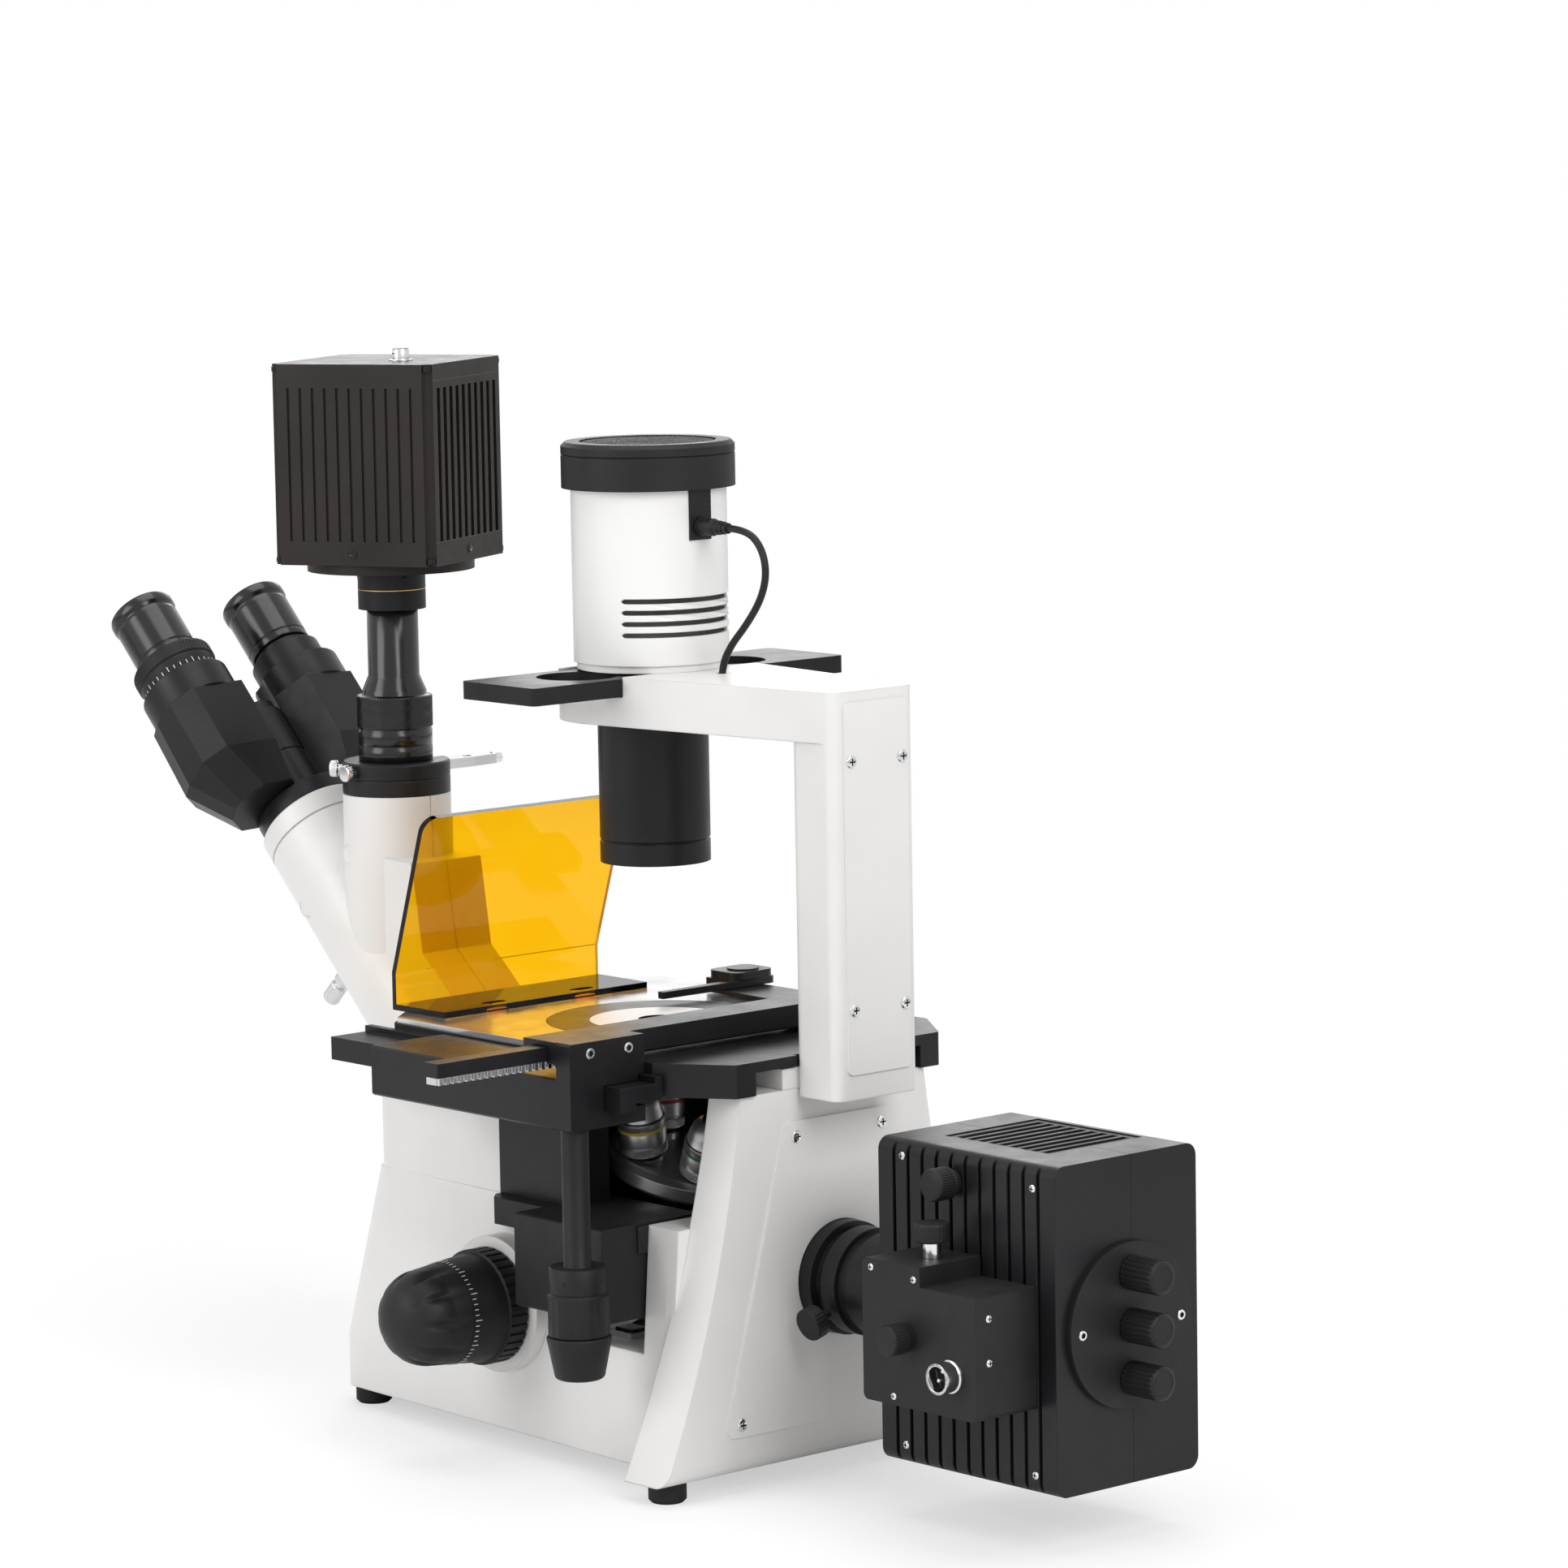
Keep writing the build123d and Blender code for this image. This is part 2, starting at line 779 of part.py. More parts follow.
# Mechanical stage: carriage beside the stage, with the guide rail across the rear
with BuildPart() as y_carriage:
    carriage_inner = stage_half + free_gap
    block((carriage_inner, carriage_front, carriage_bottom), (carriage_outer, carriage_rear, carriage_top))
    block((carriage_inner, carriage_rear - bracket_thick, carriage_top), (carriage_outer, carriage_rear, rail_top))
    block(
        (stage_half - 1, carriage_front - 1, rack_bottom - slide_gap),
        (stage_half + guide_width + slide_gap, carriage_rear + 1, guide_top + slide_gap),
        Mode.SUBTRACT,
    )
    block(
        (stage_half - 1, carriage_front - 1, guide_top),
        (stage_half + 4 + slide_gap, carriage_rear + 1, guide_top + 3 + slide_gap),
        Mode.SUBTRACT,
    )
    chamfer(edges().filter_by(Axis.Y).group_by(Axis.X)[-1], 1)
    tube(
        (drive_x, drive_y, 0),
        (0, 0, 1),
        drive_shaft + running_fit,
        0,
        carriage_bottom,
        carriage_bottom + 9,
        Mode.SUBTRACT,
    )
    block((rail_left, rail_front, rail_bottom), (carriage_outer, rail_rear, rail_top))
    block(
        (rail_left - 1, bar_front - slide_gap, rail_bottom - 1),
        (carriage_outer + 1, bar_rear + slide_gap, bar_top + slide_gap),
        Mode.SUBTRACT,
    )
    block((carriage_inner, rail_rear, rail_bottom), (carriage_outer, carriage_rear - bracket_thick, rail_top))
y_carriage.part.label = "y_carriage"

# Cross bar in the rail, with its rack and the plate that carries the specimen holder
holder_x = -85
holder_y = -35
holder_top = 210
with BuildPart() as x_bar:
    block((bar_left, bar_front, bar_bottom + 3.4), (bar_right, bar_rear, bar_top))
    block((bar_left, bar_front + 1, bar_bottom), (bar_right - 0.6, bar_rear - rack_tooth, bar_bottom + 3.4))
    tooth_count = int((bar_right - 90) / (2 * rack_tooth))
    with BuildSketch(Plane.XY.offset(bar_bottom)):
        for tooth in range(tooth_count):
            with Locations((bar_right - 2 - 2 * rack_tooth * tooth, bar_rear - rack_tooth / 2)):
                Rectangle(rack_tooth, rack_tooth)
    extrude(amount=3.4)
    with BuildSketch(Plane.XY.offset(bar_bottom)):
        with BuildLine():
            Polyline(
                (bar_left, bar_front + 2),
                (-30, bar_front + 2),
                (-34, 52),
                (-62, 30),
                (-66, holder_y - 8),
                (-92, holder_y - 8),
                (-92, 30),
                (bar_left, 52),
                close=True,
            )
        make_face()
        fillet(vertices().filter_by_position(Axis.Y, -60, 35), 4)
    extrude(amount=rail_bottom - bar_bottom - slide_gap)
    tube(
        (holder_x, holder_y, 0), (0, 0, 1), 3, 0, rail_bottom - slide_gap, holder_top + 4
    )
x_bar.part.label = "x_bar"

with BuildPart() as specimen_finger:
    with BuildSketch(Plane.XY.offset(rail_bottom)):
        with BuildLine():
            Polyline(
                (-100, -48), (-72, -48), (-72, -32), (-26, -31), (-26, -27), (-76, -26), (-100, -26), close=True
            )
        make_face()
        fillet(vertices().filter_by_position(Axis.X, -101, -99), 5)
        with Locations((holder_x, holder_y)):
            Circle(3 + running_fit, mode=Mode.SUBTRACT)
    extrude(amount=holder_top - rail_bottom)
    with BuildSketch(Plane.XY.offset(holder_top)):
        with Locations((holder_x, holder_y - 1.5)):
            RectangleRounded(26, 22, 5)
        with Locations((holder_x, holder_y)):
            Circle(3 + running_fit, mode=Mode.SUBTRACT)
    extrude(amount=4)
    tube((holder_x, holder_y, 0), (0, 0, 1), 8, 0, holder_top + 4 + seam, holder_top + 5)
    tube((holder_x, holder_y, 0), (0, 0, 1), 8, 3 + running_fit, holder_top + 4, holder_top + 4 + seam)
specimen_finger.part.label = "specimen_finger"

# Two coaxial drive knobs that hang below the carriage
with BuildPart() as y_drive_knob:
    turned(
        (drive_x, drive_y, 0),
        (0, 0, 1),
        [
            (drive_core + running_fit, carriage_bottom + 8),
            (drive_shaft, carriage_bottom + 8),
            (drive_shaft, shaft_bottom),
            (drive_collar, shaft_bottom),
            (drive_collar, upper_knob_top),
            (drive_knob - 1, upper_knob_top),
            (drive_knob, upper_knob_top - 8),
            (drive_knob, upper_knob_bottom),
            (drive_core + running_fit, upper_knob_bottom),
        ],
    )
y_drive_knob.part.label = "y_drive_knob"

with BuildPart() as x_drive_knob:
    low_top = upper_knob_bottom - free_gap
    turned(
        (drive_x, drive_y, 0),
        (0, 0, 1),
        [
            (0, carriage_bottom + 8),
            (drive_core, carriage_bottom + 8),
            (drive_core, low_top),
            (drive_low_radius, low_top),
            (drive_low_radius - 0.5, low_top - 6),
            (drive_end_radius + 0.6, lower_knob_bottom + 1),
            (drive_end_radius - 1, lower_knob_bottom),
            (0, lower_knob_bottom),
        ],
    )
x_drive_knob.part.label = "x_drive_knob"

# Amber shield: foot on the stage, upright tab and a leaning screen
shield_left = -57
shield_right = 72
shield_thick = 3
shield_y = -117
shield_bend = 222
shield_top = 301
shield_top_y = -91
shield_foot_rear = -76
with BuildPart() as light_shield:
    with BuildSketch(Plane.YZ.offset(shield_left)):
        with BuildLine():
            Polyline(
                (shield_foot_rear, stage_top),
                (shield_y, stage_top),
                (shield_y, shield_bend),
                (shield_top_y, shield_top),
                (shield_top_y + shield_thick, shield_top - 1),
                (shield_y + shield_thick, shield_bend - 0.5),
                (shield_y + shield_thick, stage_top + shield_thick),
                (shield_foot_rear, stage_top + shield_thick),
                close=True,
            )
        make_face()
    extrude(amount=shield_right - shield_left)
    for corner_x, corner_y in ((35, -84), (-21, -84)):
        with BuildSketch(Plane.XY.offset(stage_top)):
            with Locations((corner_x, corner_y)):
                SlotOverall(14, 5)
        extrude(amount=shield_thick, mode=Mode.SUBTRACT)
    upper = edges().filter_by_position(Axis.Z, shield_top - 2, shield_top + 1)
    fillet(upper.filter_by(lambda e: e.length < 4 and abs(e.center().X) > 50), 8)
light_shield.part.label = "light_shield"

# Head: neck tube, photo port and rear web, split into two shells at the middle plane
with BuildPart() as head:
    tube(flange_centre, -eye_direction, neck_radius, 0, collar_length, neck_length)
    tube((0, photo_y, 0), (0, 0, 1), port_radius, 0, 207, port_top)
    side_profile(
        22,
        (photo_y, port_top - 30),
        (-164, port_top - 31),
        (-157, 222),
        (stage_front - seam, stage_bottom + 1),
        (stage_front - seam, stage_bottom),
        (pillar_front - 1, stage_bottom),
        (pillar_front - 20, 150),
        (photo_y, 215),
    )
    block((-60, stage_front - seam, 100), (60, 0, 260), Mode.SUBTRACT)
    tube(flange_centre, -eye_direction, eye_bore, 0, 0, neck_length + 5, Mode.SUBTRACT)
    tube((0, photo_y, 0), (0, 0, 1), eye_bore, 0, 210, port_top, Mode.SUBTRACT)
    add(base_casting.part, mode=Mode.SUBTRACT)
    tube(flange_centre, -eye_direction, neck_radius + 5, 0, -40, collar_length, Mode.SUBTRACT)

with BuildPart() as head_right:
    add(head.part)
    split(bisect_by=Plane.YZ.offset(seam / 2), keep=Keep.TOP)
head_right.part.label = "head_right"

with BuildPart() as head_left:
    add(head.part)
    split(bisect_by=Plane.YZ.offset(-seam / 2), keep=Keep.BOTTOM)
head_left.part.label = "head_left"

with BuildPart() as head_collar:
    turned(
        flange_centre,
        -eye_direction,
        [
            (eye_bore, 0),
            (neck_radius - 0.5, 0),
            (neck_radius, 0.5),
            (neck_radius, collar_length - collar_groove),
            (neck_radius - 1, collar_length - collar_groove),
            (neck_radius - 1, collar_length),
            (eye_bore, collar_length),
        ],
    )
    add(head.part, mode=Mode.SUBTRACT)
head_collar.part.label = "head_collar"

# Fixed hub that both prism arms turn on
with BuildPart() as eyetube_hub:
    turned(
        flange_centre,
        eye_direction,
        [
            (axle_bore, 0),
            (hub_disc_radius, 0),
            (hub_disc_radius, hub_disc),
            (axle_radius, hub_disc),
            (axle_radius, right_knuckle[1] + free_gap),
            (knuckle_radius - 2, right_knuckle[1] + free_gap),
            (knuckle_radius - 2, right_knuckle[1] + 6),
            (axle_bore, right_knuckle[1] + 6),
        ],
    )
eyetube_hub.part.label = "eyetube_hub"


def prism_arm(side, own, other):
    """Prism housing on one side of the tilted axis, with the knuckle that carries it."""
    across = Vector(side, 0, 0)

    def section(inner_low, inner_high, outer, low, high):
        """Housing section across the axis: x away from the middle, y up the slope."""
        with BuildLine() as outline:
            Polyline(
                (side * inner_low, low),
                (side * (outer - 14), low - 2),
                (side * (outer - 3), low + 8),
                (side * outer, low + 18),
                (side * outer, high - 14),
                (side * (outer - 9), high - 2),
                (side * inner_high, high),
                (side * (inner_low - 0.5), 5),
                close=True,
            )
        make_face(outline.line.edges())

    def level(distance):
        origin = flange_centre + eye_direction * distance
        return Plane(origin=origin, x_dir=(1, 0, 0), z_dir=eye_direction)

    with BuildSketch(level(hub_disc + 2)) as near:
        section(5, 19, 45, -16, 22)
    with BuildSketch(level(34)) as wide:
        section(5, 21, 60, -21, 29)
    with BuildSketch(level(prism_end - 16)) as far:
        section(5, 21, 60, -19, 29)
    loft([near.sketch, wide.sketch, far.sketch], ruled=True)
    centre = flange_centre + across * eye_offset + eye_up * eye_rise
    tube(centre, eye_direction, 24, 0, prism_end - 16, prism_end)
    tube(flange_centre, eye_direction, axle_radius + running_fit, 0, 0, own[0], Mode.SUBTRACT)
    clear = knuckle_radius + free_gap
    tube(flange_centre, eye_direction, clear, 0, other[0] - free_gap, other[1] + free_gap, Mode.SUBTRACT)
    tube(flange_centre, eye_direction, clear, 0, right_knuckle[1], prism_end, Mode.SUBTRACT)
    tube(flange_centre, eye_direction, knuckle_radius, 0, own[0], own[1])
    tube(flange_centre, eye_direction, axle_radius + running_fit, 0, 0, prism_end, Mode.SUBTRACT)
    tube(centre, eye_direction, eyetube_radius, 0, prism_end, prism_end + diopter_length)
    tube(centre, eye_direction, eyetube_radius - 3, 0, 30, prism_end + diopter_length, Mode.SUBTRACT)


with BuildPart() as prism_housing_right:
    prism_arm(1, right_knuckle, left_knuckle)
prism_housing_right.part.label = "prism_housing_right"

with BuildPart() as prism_housing_left:
    prism_arm(-1, left_knuckle, right_knuckle)
    left_centre = flange_centre + Vector(-eye_offset, 0, 0) + eye_up * eye_rise
    tube(left_centre, eye_direction, eyepiece_radius + 2.5, eyetube_radius - 1, prism_end, prism_end + 13)
prism_housing_left.part.label = "prism_housing_left"

right_centre = flange_centre + Vector(eye_offset, 0, 0) + eye_up * eye_rise
with BuildPart() as diopter_ring:
    inner = eyetube_radius + running_fit
    turned(
        right_centre,
        eye_direction,
        [
            (inner, prism_end + free_gap),
            (diopter_radius - 1.5, prism_end + free_gap),
            (diopter_radius - 0.5, prism_end + 9),
            (diopter_radius, prism_end + 9),
            (diopter_radius, prism_end + diopter_length - 1),
            (diopter_radius - 1, prism_end + diopter_length),
            (inner, prism_end + diopter_length),
        ],
    )
diopter_ring.part.label = "diopter_ring"


def eyepiece(centre):
    """Eyepiece whose sleeve stands in the eyetube and whose shoulder rests on its end."""
    start = prism_end + diopter_length + free_gap
    turned(
        centre,
        eye_direction,
        [
            (0, start - 14),
            (eyetube_radius - 3 - running_fit, start - 14),
            (eyetube_radius - 3 - running_fit, start),
            (eyepiece_radius, start),
            (eyepiece_radius, start + eyepiece_length - eyecup_length),
            (eyecup_radius, start + eyepiece_length - eyecup_length + 1.5),
            (eyecup_radius, start + eyepiece_length - 1),
            (eyecup_radius - 1.5, start + eyepiece_length),
            (eyecup_radius - 4, start + eyepiece_length),
            (eyecup_radius - 5, start + eyepiece_length - 3),
            (0, start + eyepiece_length - 3),
        ],
    )


with BuildPart() as eyepiece_right:
    eyepiece(right_centre)
eyepiece_right.part.label = "eyepiece_right"

with BuildPart() as eyepiece_left:
    eyepiece(left_centre)
eyepiece_left.part.label = "eyepiece_left"

# Photo port: clamp ring, light path lever, tube, camera mount and camera
with BuildPart() as port_clamp:
    turned(
        (0, photo_y, port_top),
        (0, 0, 1),
        [
            (eye_bore, 0),
            (port_radius - 0.5, 0),
            (port_radius, 0.5),
            (port_radius, 7.8),
            (port_radius - 0.5, 8.3),
            (port_radius, 8.8),
            (port_radius, clamp_height - 1),
            (port_radius - 1, clamp_height),
            (eye_bore, clamp_height),
        ],
    )
    block(
        (-port_radius - 2, photo_y - 6.2, port_top + 8.8),
        (-eye_bore - 2, photo_y + 6.2, port_top + clamp_height),
        Mode.SUBTRACT,
    )
port_clamp.part.label = "port_clamp"

lever_tip = -62
with BuildPart() as light_path_lever:
    with BuildSketch(Plane.XY.offset(port_top + 8.8 + slide_gap)):
        with BuildLine():
            Polyline(
                (-eye_bore - 3, photo_y - 6),
                (-46, photo_y - 6),
                (lever_tip, photo_y - 4),
                (lever_tip, photo_y + 4),
                (-46, photo_y + 6),
                (-eye_bore - 3, photo_y + 6),
                close=True,
            )
        make_face()
        with Locations((-46, photo_y)):
            Circle(2.5, mode=Mode.SUBTRACT)
    extrude(amount=5)
    tube((lever_tip, photo_y, port_top + 11.5), (-1, 0, 0), 3, 0, 0, 5)
light_path_lever.part.label = "light_path_lever"

with BuildPart() as photo_tube:
    tube_bottom = port_top + clamp_height
    turned(
        (0, photo_y, 0),
        (0, 0, 1),
        [
            (eye_bore - 3, tube_bottom),
            (tube_radius, tube_bottom),
            (tube_radius, 330),
            (tube_radius + 0.5, 330.3),
            (tube_radius + 0.5, 347),
            (16.25, 347.3),
            (16.25, tube_top),
            (thin_radius, tube_top + 7),
            (thin_radius, thin_top),
            (eye_bore - 3, thin_top),
        ],
    )
photo_tube.part.label = "photo_tube"

with BuildPart() as camera_mount:
    mount_top = thin_top + mount_height
    turned(
        (0, photo_y, 0),
        (0, 0, 1),
        [
            (eye_bore - 3, thin_top),
            (mount_radius, thin_top),
            (mount_radius, thin_top + 9.6),
            (mount_radius - 0.4, thin_top + 9.8),
            (mount_radius - 0.4, thin_top + 10.2),
            (mount_radius, thin_top + 10.4),
            (mount_radius, mount_top - 1),
            (mount_radius - 1, mount_top),
            (eye_bore - 3, mount_top),
        ],
    )
camera_mount.part.label = "camera_mount"

camera_plane = Plane(
    origin=(0, photo_y, camera_bottom),
    x_dir=(cos(radians(camera_turn)), sin(radians(camera_turn)), 0),
    z_dir=(0, 0, 1),
)
half_camera = camera_side / 2
with BuildPart() as camera_body:
    tube((0, photo_y, mount_top), (0, 0, 1), camera_flange_radius, eye_bore, 0, camera_flange_height)
    with BuildSketch(camera_plane):
        RectangleRounded(camera_side, camera_side, 1.5)
        with GridLocations(camera_side, camera_side, 2, 2):
            Circle(camera_corner, mode=Mode.SUBTRACT)
    extrude(amount=camera_height)
    fin_height = camera_height - 2 * camera_band
    with BuildSketch(camera_plane.offset(camera_band)):
        shallow_pitch = (camera_side - 14) / shallow_grooves
        with GridLocations(camera_side, shallow_pitch, 2, shallow_grooves):
            Rectangle(2, 1.4)
        deep_pitch = (camera_side - 14) / deep_grooves
        with GridLocations(deep_pitch, camera_side, deep_grooves, 2):
            Rectangle(3.6, 10)
    extrude(amount=fin_height, mode=Mode.SUBTRACT)
    tube((0, photo_y, camera_bottom), (0, 0, 1), eye_bore, 0, 0, 14, Mode.SUBTRACT)
    with BuildSketch(camera_plane.offset(camera_height)):
        with Locations((8, 12)):
            Circle(4)
    extrude(amount=6)
camera_body.part.label = "camera_body"

with BuildPart() as camera_sensor:
    with BuildSketch(camera_plane.offset(12)):
        Rectangle(14, 11)
    extrude(amount=2)
circuit_boards = BuildPart()
circuit_boards.part = gathered(power_board, camera_sensor)
circuit_boards.part.label = "circuit_boards"

# Thumbscrews: two at the photo port, one under the neck, one on the lamphouse port
with BuildPart() as thumbscrews:
    for bearing in (0, -45):
        direction = Vector(cos(radians(bearing)), sin(radians(bearing)), 0)
        start = Vector(0, photo_y, 309.5) + direction * port_radius
        turned(start, direction, [(0, 0), (2, 0), (2, 2), (4.2, 2.4), (4.2, 6.5), (3, 7.2), (0, 7.2)])
    neck_side = Vector(0, -slope, -slope)
    neck_point = flange_centre - eye_direction * 72 + neck_side * neck_radius
    turned(
        neck_point,
        neck_side,
        [(0, -1), (3, 0), (3, 9), (4.6, 9.5), (4.6, 15), (3.4, 15.5), (3.4, 18), (4.6, 18.5), (4.6, 29), (0, 29.5)],
    )
    add(head_right.part, mode=Mode.SUBTRACT)
    add(head_left.part, mode=Mode.SUBTRACT)
    add(port_clamp.part, mode=Mode.SUBTRACT)

# Focus block on the tray, open to the rear, that guides the nosepiece
with BuildPart() as focus_housing:
    block((-housing_half, pillar_rear, step_level), (housing_half, housing_rear, stage_bottom))
    block(
        (-pocket_half, pocket_front, step_level),
        (pocket_half, housing_rear, stage_bottom),
        Mode.SUBTRACT,
    )
    chamfer(edges().filter_by(Axis.Z).group_by(Axis.Y)[-1], 1.5)
focus_housing.part.label = "focus_housing"

# Filter housing at the right and the tray over the base
filter_outer = 106
filter_rear = 80.5
filter_bottom = 80
filter_top = 125
filter_front = 16
dish_half = 43
dish_front = -19
dish_rear = 74
dish_floor = 2
with BuildPart() as filter_block:
    with BuildSketch(Plane.XZ.offset(-filter_rear)):
        with BuildLine():
            Polyline(
                (core_half, filter_bottom),
                (filter_outer, filter_bottom),
                (filter_outer, filter_top),
                (dish_half + 3, filter_top),
                (dish_half + 3, tray_bottom),
                (core_half, tray_bottom),
                close=True,
            )
        make_face()
        fillet(vertices().group_by(Axis.X)[-1], 2)
    extrude(amount=filter_rear - filter_front)
    block(
        (core_half, filter_front - 1, step_level),
        (housing_half + free_gap, housing_rear + free_gap, filter_top + 1),
        Mode.SUBTRACT,
    )
with BuildPart() as filter_housing:
    with BuildSketch(Plane.XY.offset(tray_bottom)):
        with Locations((0, (pillar_rear + deck_rear) / 2)):
            Rectangle(170, deck_rear - pillar_rear)
        chamfer(vertices().group_by(Axis.Y)[0], 6)
    extrude(amount=step_level - tray_bottom)
    block((-dish_half, dish_front, tray_bottom + dish_floor), (dish_half, dish_rear, step_level), Mode.SUBTRACT)
    tube((0, 0, 0), (0, 0, 1), down_bore, 0, tray_bottom, step_level, Mode.SUBTRACT)
    add(filter_block.part, mode=Mode.SUBTRACT)
filter_housing.part = gathered(filter_housing, filter_block)
filter_housing.part.label = "filter_housing"

# Nosepiece carriage: slide plate in the pocket, arm below the turret and its pivot pin
turret_centre = Vector(0, turret_y, turret_level)
lean = radians(turret_lean)


def under_turret(y):
    """Level of the turret's lower face at a distance to the rear."""
    low = turret_centre - turret_direction * (turret_thick + free_gap)
    return low.Z - (y - low.Y) * tan(lean)


arm_half = 25
arm_rear = 40
arm_low = 117
with BuildPart() as nosepiece_carriage:
    block(
        (-pocket_half + free_gap, pocket_front + free_gap, step_level + 4),
        (pocket_half - free_gap, pocket_front + 3.4, stage_bottom - 8),
    )
    side_profile(
        arm_half,
        (pocket_front + 1, step_level + 4),
        (pocket_front + 1, under_turret(pocket_front + 1)),
        (arm_rear, under_turret(arm_rear)),
        (arm_rear, arm_low),
        (dish_front + 4, arm_low),
        (dish_front + 0.6, step_level + 4),
    )
    tube((0, 0, 0), (0, 0, 1), down_bore - 4, 0, 100, stage_bottom, Mode.SUBTRACT)
    tube(turret_centre, turret_direction, pivot_radius, 0, -turret_thick - 1, 0)
nosepiece_carriage.part.label = "nosepiece_carriage"

apex = turret_centre - turret_direction * (turret_y / sin(lean))
objective_start = turret_y / tan(lean)


def objective_direction(index):
    """Direction of one objective, which stands square to its seat on the turret's cone."""
    bearing = radians(360 / objective_count * index - 90)
    across = Vector(1, 0, 0) * cos(bearing) + Vector(0, cos(lean), -sin(lean)) * sin(bearing)
    return turret_direction * cos(lean) + across * sin(lean)


seat = turret_y / (sin(lean) * cos(lean)) - turret_thick
with BuildPart() as objective_turret:
    turned(
        turret_centre,
        turret_direction,
        [
            (pivot_radius + running_fit, -turret_thick),
            (turret_radius - 2, -turret_thick),
            (turret_radius, -turret_thick + 2),
            (turret_radius, -2),
            (turret_radius - 4, 0),
            (pivot_radius + running_fit, 0),
        ],
    )
    for index in range(objective_count):
        tube(apex, objective_direction(index), 9, 0, seat - 10, seat + 20, Mode.SUBTRACT)
objective_turret.part.label = "objective_turret"

objective_outline = [
    (0, 0.4),
    (9.5, 0.4),
    (10.5, 3),
    (objective_radius, 4),
    (objective_radius, 21),
    (objective_radius - 1, 22),
    (10.4, 29),
    (6, 34),
    (5, objective_length - 2),
    (0, objective_length - 2),
]
with BuildPart() as objectives:
    for index in range(objective_count):
        start = apex + objective_direction(index) * (turret_y / (sin(lean) * cos(lean)))
        turned(start, objective_direction(index), objective_outline)
        tube(start, objective_direction(index), 9 - running_fit, 0, -6, 0.4)
    add(objective_turret.part, mode=Mode.SUBTRACT)
objectives.part.label = "objectives"

# Coarse and fine focus knobs
with BuildPart() as coarse_knobs:
    tube(
        (0, knob_y, knob_level),
        (1, 0, 0),
        coarse_shaft,
        fine_shaft + running_fit,
        -boss_face - 2,
        boss_face + 2,
    )
    for side in (-1, 1):
        start = boss_face + 1
        turned(
            (0, knob_y, knob_level),
            (side, 0, 0),
            [
                (fine_shaft + running_fit, start),
                (coarse_radius, start),
                (coarse_radius, start + coarse_ring),
                (coarse_radius - 1.5, start + coarse_ring + 0.5),
                (coarse_end_radius, start + coarse_length),
                (fine_shaft + running_fit, start + coarse_length),
            ],
        )
    with BuildSketch(Plane.YZ.offset(-boss_face - coarse_ring - 1)):
        with Locations((knob_y, knob_level)):
            with PolarLocations(coarse_radius, knob_ridges):
                Rectangle(1.6, 1.6)
    extrude(amount=coarse_ring, mode=Mode.SUBTRACT)
    with BuildSketch(Plane.YZ.offset(boss_face + 1)):
        with Locations((knob_y, knob_level)):
            with PolarLocations(coarse_radius, knob_ridges):
                Rectangle(1.6, 1.6)
    extrude(amount=coarse_ring, mode=Mode.SUBTRACT)
coarse_knobs.part.label = "coarse_knobs"

with BuildPart() as fine_knobs:
    start = boss_face + 1 + coarse_length + free_gap
    for side in (-1, 1):
        tube((0, knob_y, knob_level), (side, 0, 0), fine_shaft, 0, boss_face + 6, start + 1)
        plane = shaft_plane((0, knob_y, knob_level), (side, 0, 0))
        with BuildSketch(plane) as dome:
            with BuildLine():
                rim = Line((fine_radius + 1, start), (fine_radius, start + fine_band))
                nose = Spline(
                    (fine_radius, start + fine_band),
                    (0.75 * fine_radius, start + fine_band + 0.66 * (fine_length - fine_band)),
                    (0, start + fine_length),
                    tangents=((0, 1), (-1, 0)),
                )
                Line(nose @ 1, (0, start))
                Line((0, start), rim @ 0)
            make_face()
        revolve(dome.sketch, axis=Axis(plane.origin, plane.y_dir))
fine_knobs.part.label = "fine_knobs"

# Power rocker on the deck and brightness dial on the left side of the base
with BuildPart() as power_rocker:
    with BuildSketch(Plane.XZ.offset(-rocker_y - 6)):
        with BuildLine():
            Polyline(
                (rocker_x - 10, deck_level + 2),
                (rocker_x - 10, deck_level + 7),
                (rocker_x, deck_level + 4),
                (rocker_x + 10, deck_level + 4),
                (rocker_x + 10, deck_level + 2),
                (rocker_x, deck_level + 1),
                close=True,
            )
        make_face()
    extrude(amount=12)
    tube((rocker_x, rocker_y, deck_level + 2.5), (0, 1, 0), 1 + running_fit, 0, -7, 7, Mode.SUBTRACT)
power_rocker.part.label = "power_rocker"

with BuildPart() as rocker_frame:
    block((rocker_x - 13, rocker_y - 8.5, deck_level), (rocker_x + 13, rocker_y + 8.5, deck_level + 3))
    block(
        (rocker_x - 10.6, rocker_y - 6.3, deck_level),
        (rocker_x + 10.6, rocker_y + 6.3, deck_level + 3),
        Mode.SUBTRACT,
    )
    tube((rocker_x, rocker_y, deck_level + 2.5), (0, 1, 0), 1, 0, -6.3, 6.3)

with BuildPart() as brightness_dial:
    turned(
        (0, dial_y, dial_level),
        (-1, 0, 0),
        [
            (0, dial_start - 14),
            (fine_shaft, dial_start - 14),
            (fine_shaft, dial_start),
            (13, dial_start),
            (13, dial_start + 11),
            (12, dial_start + 12),
            (0, dial_start + 12),
        ],
    )
brightness_dial.part.label = "brightness_dial"

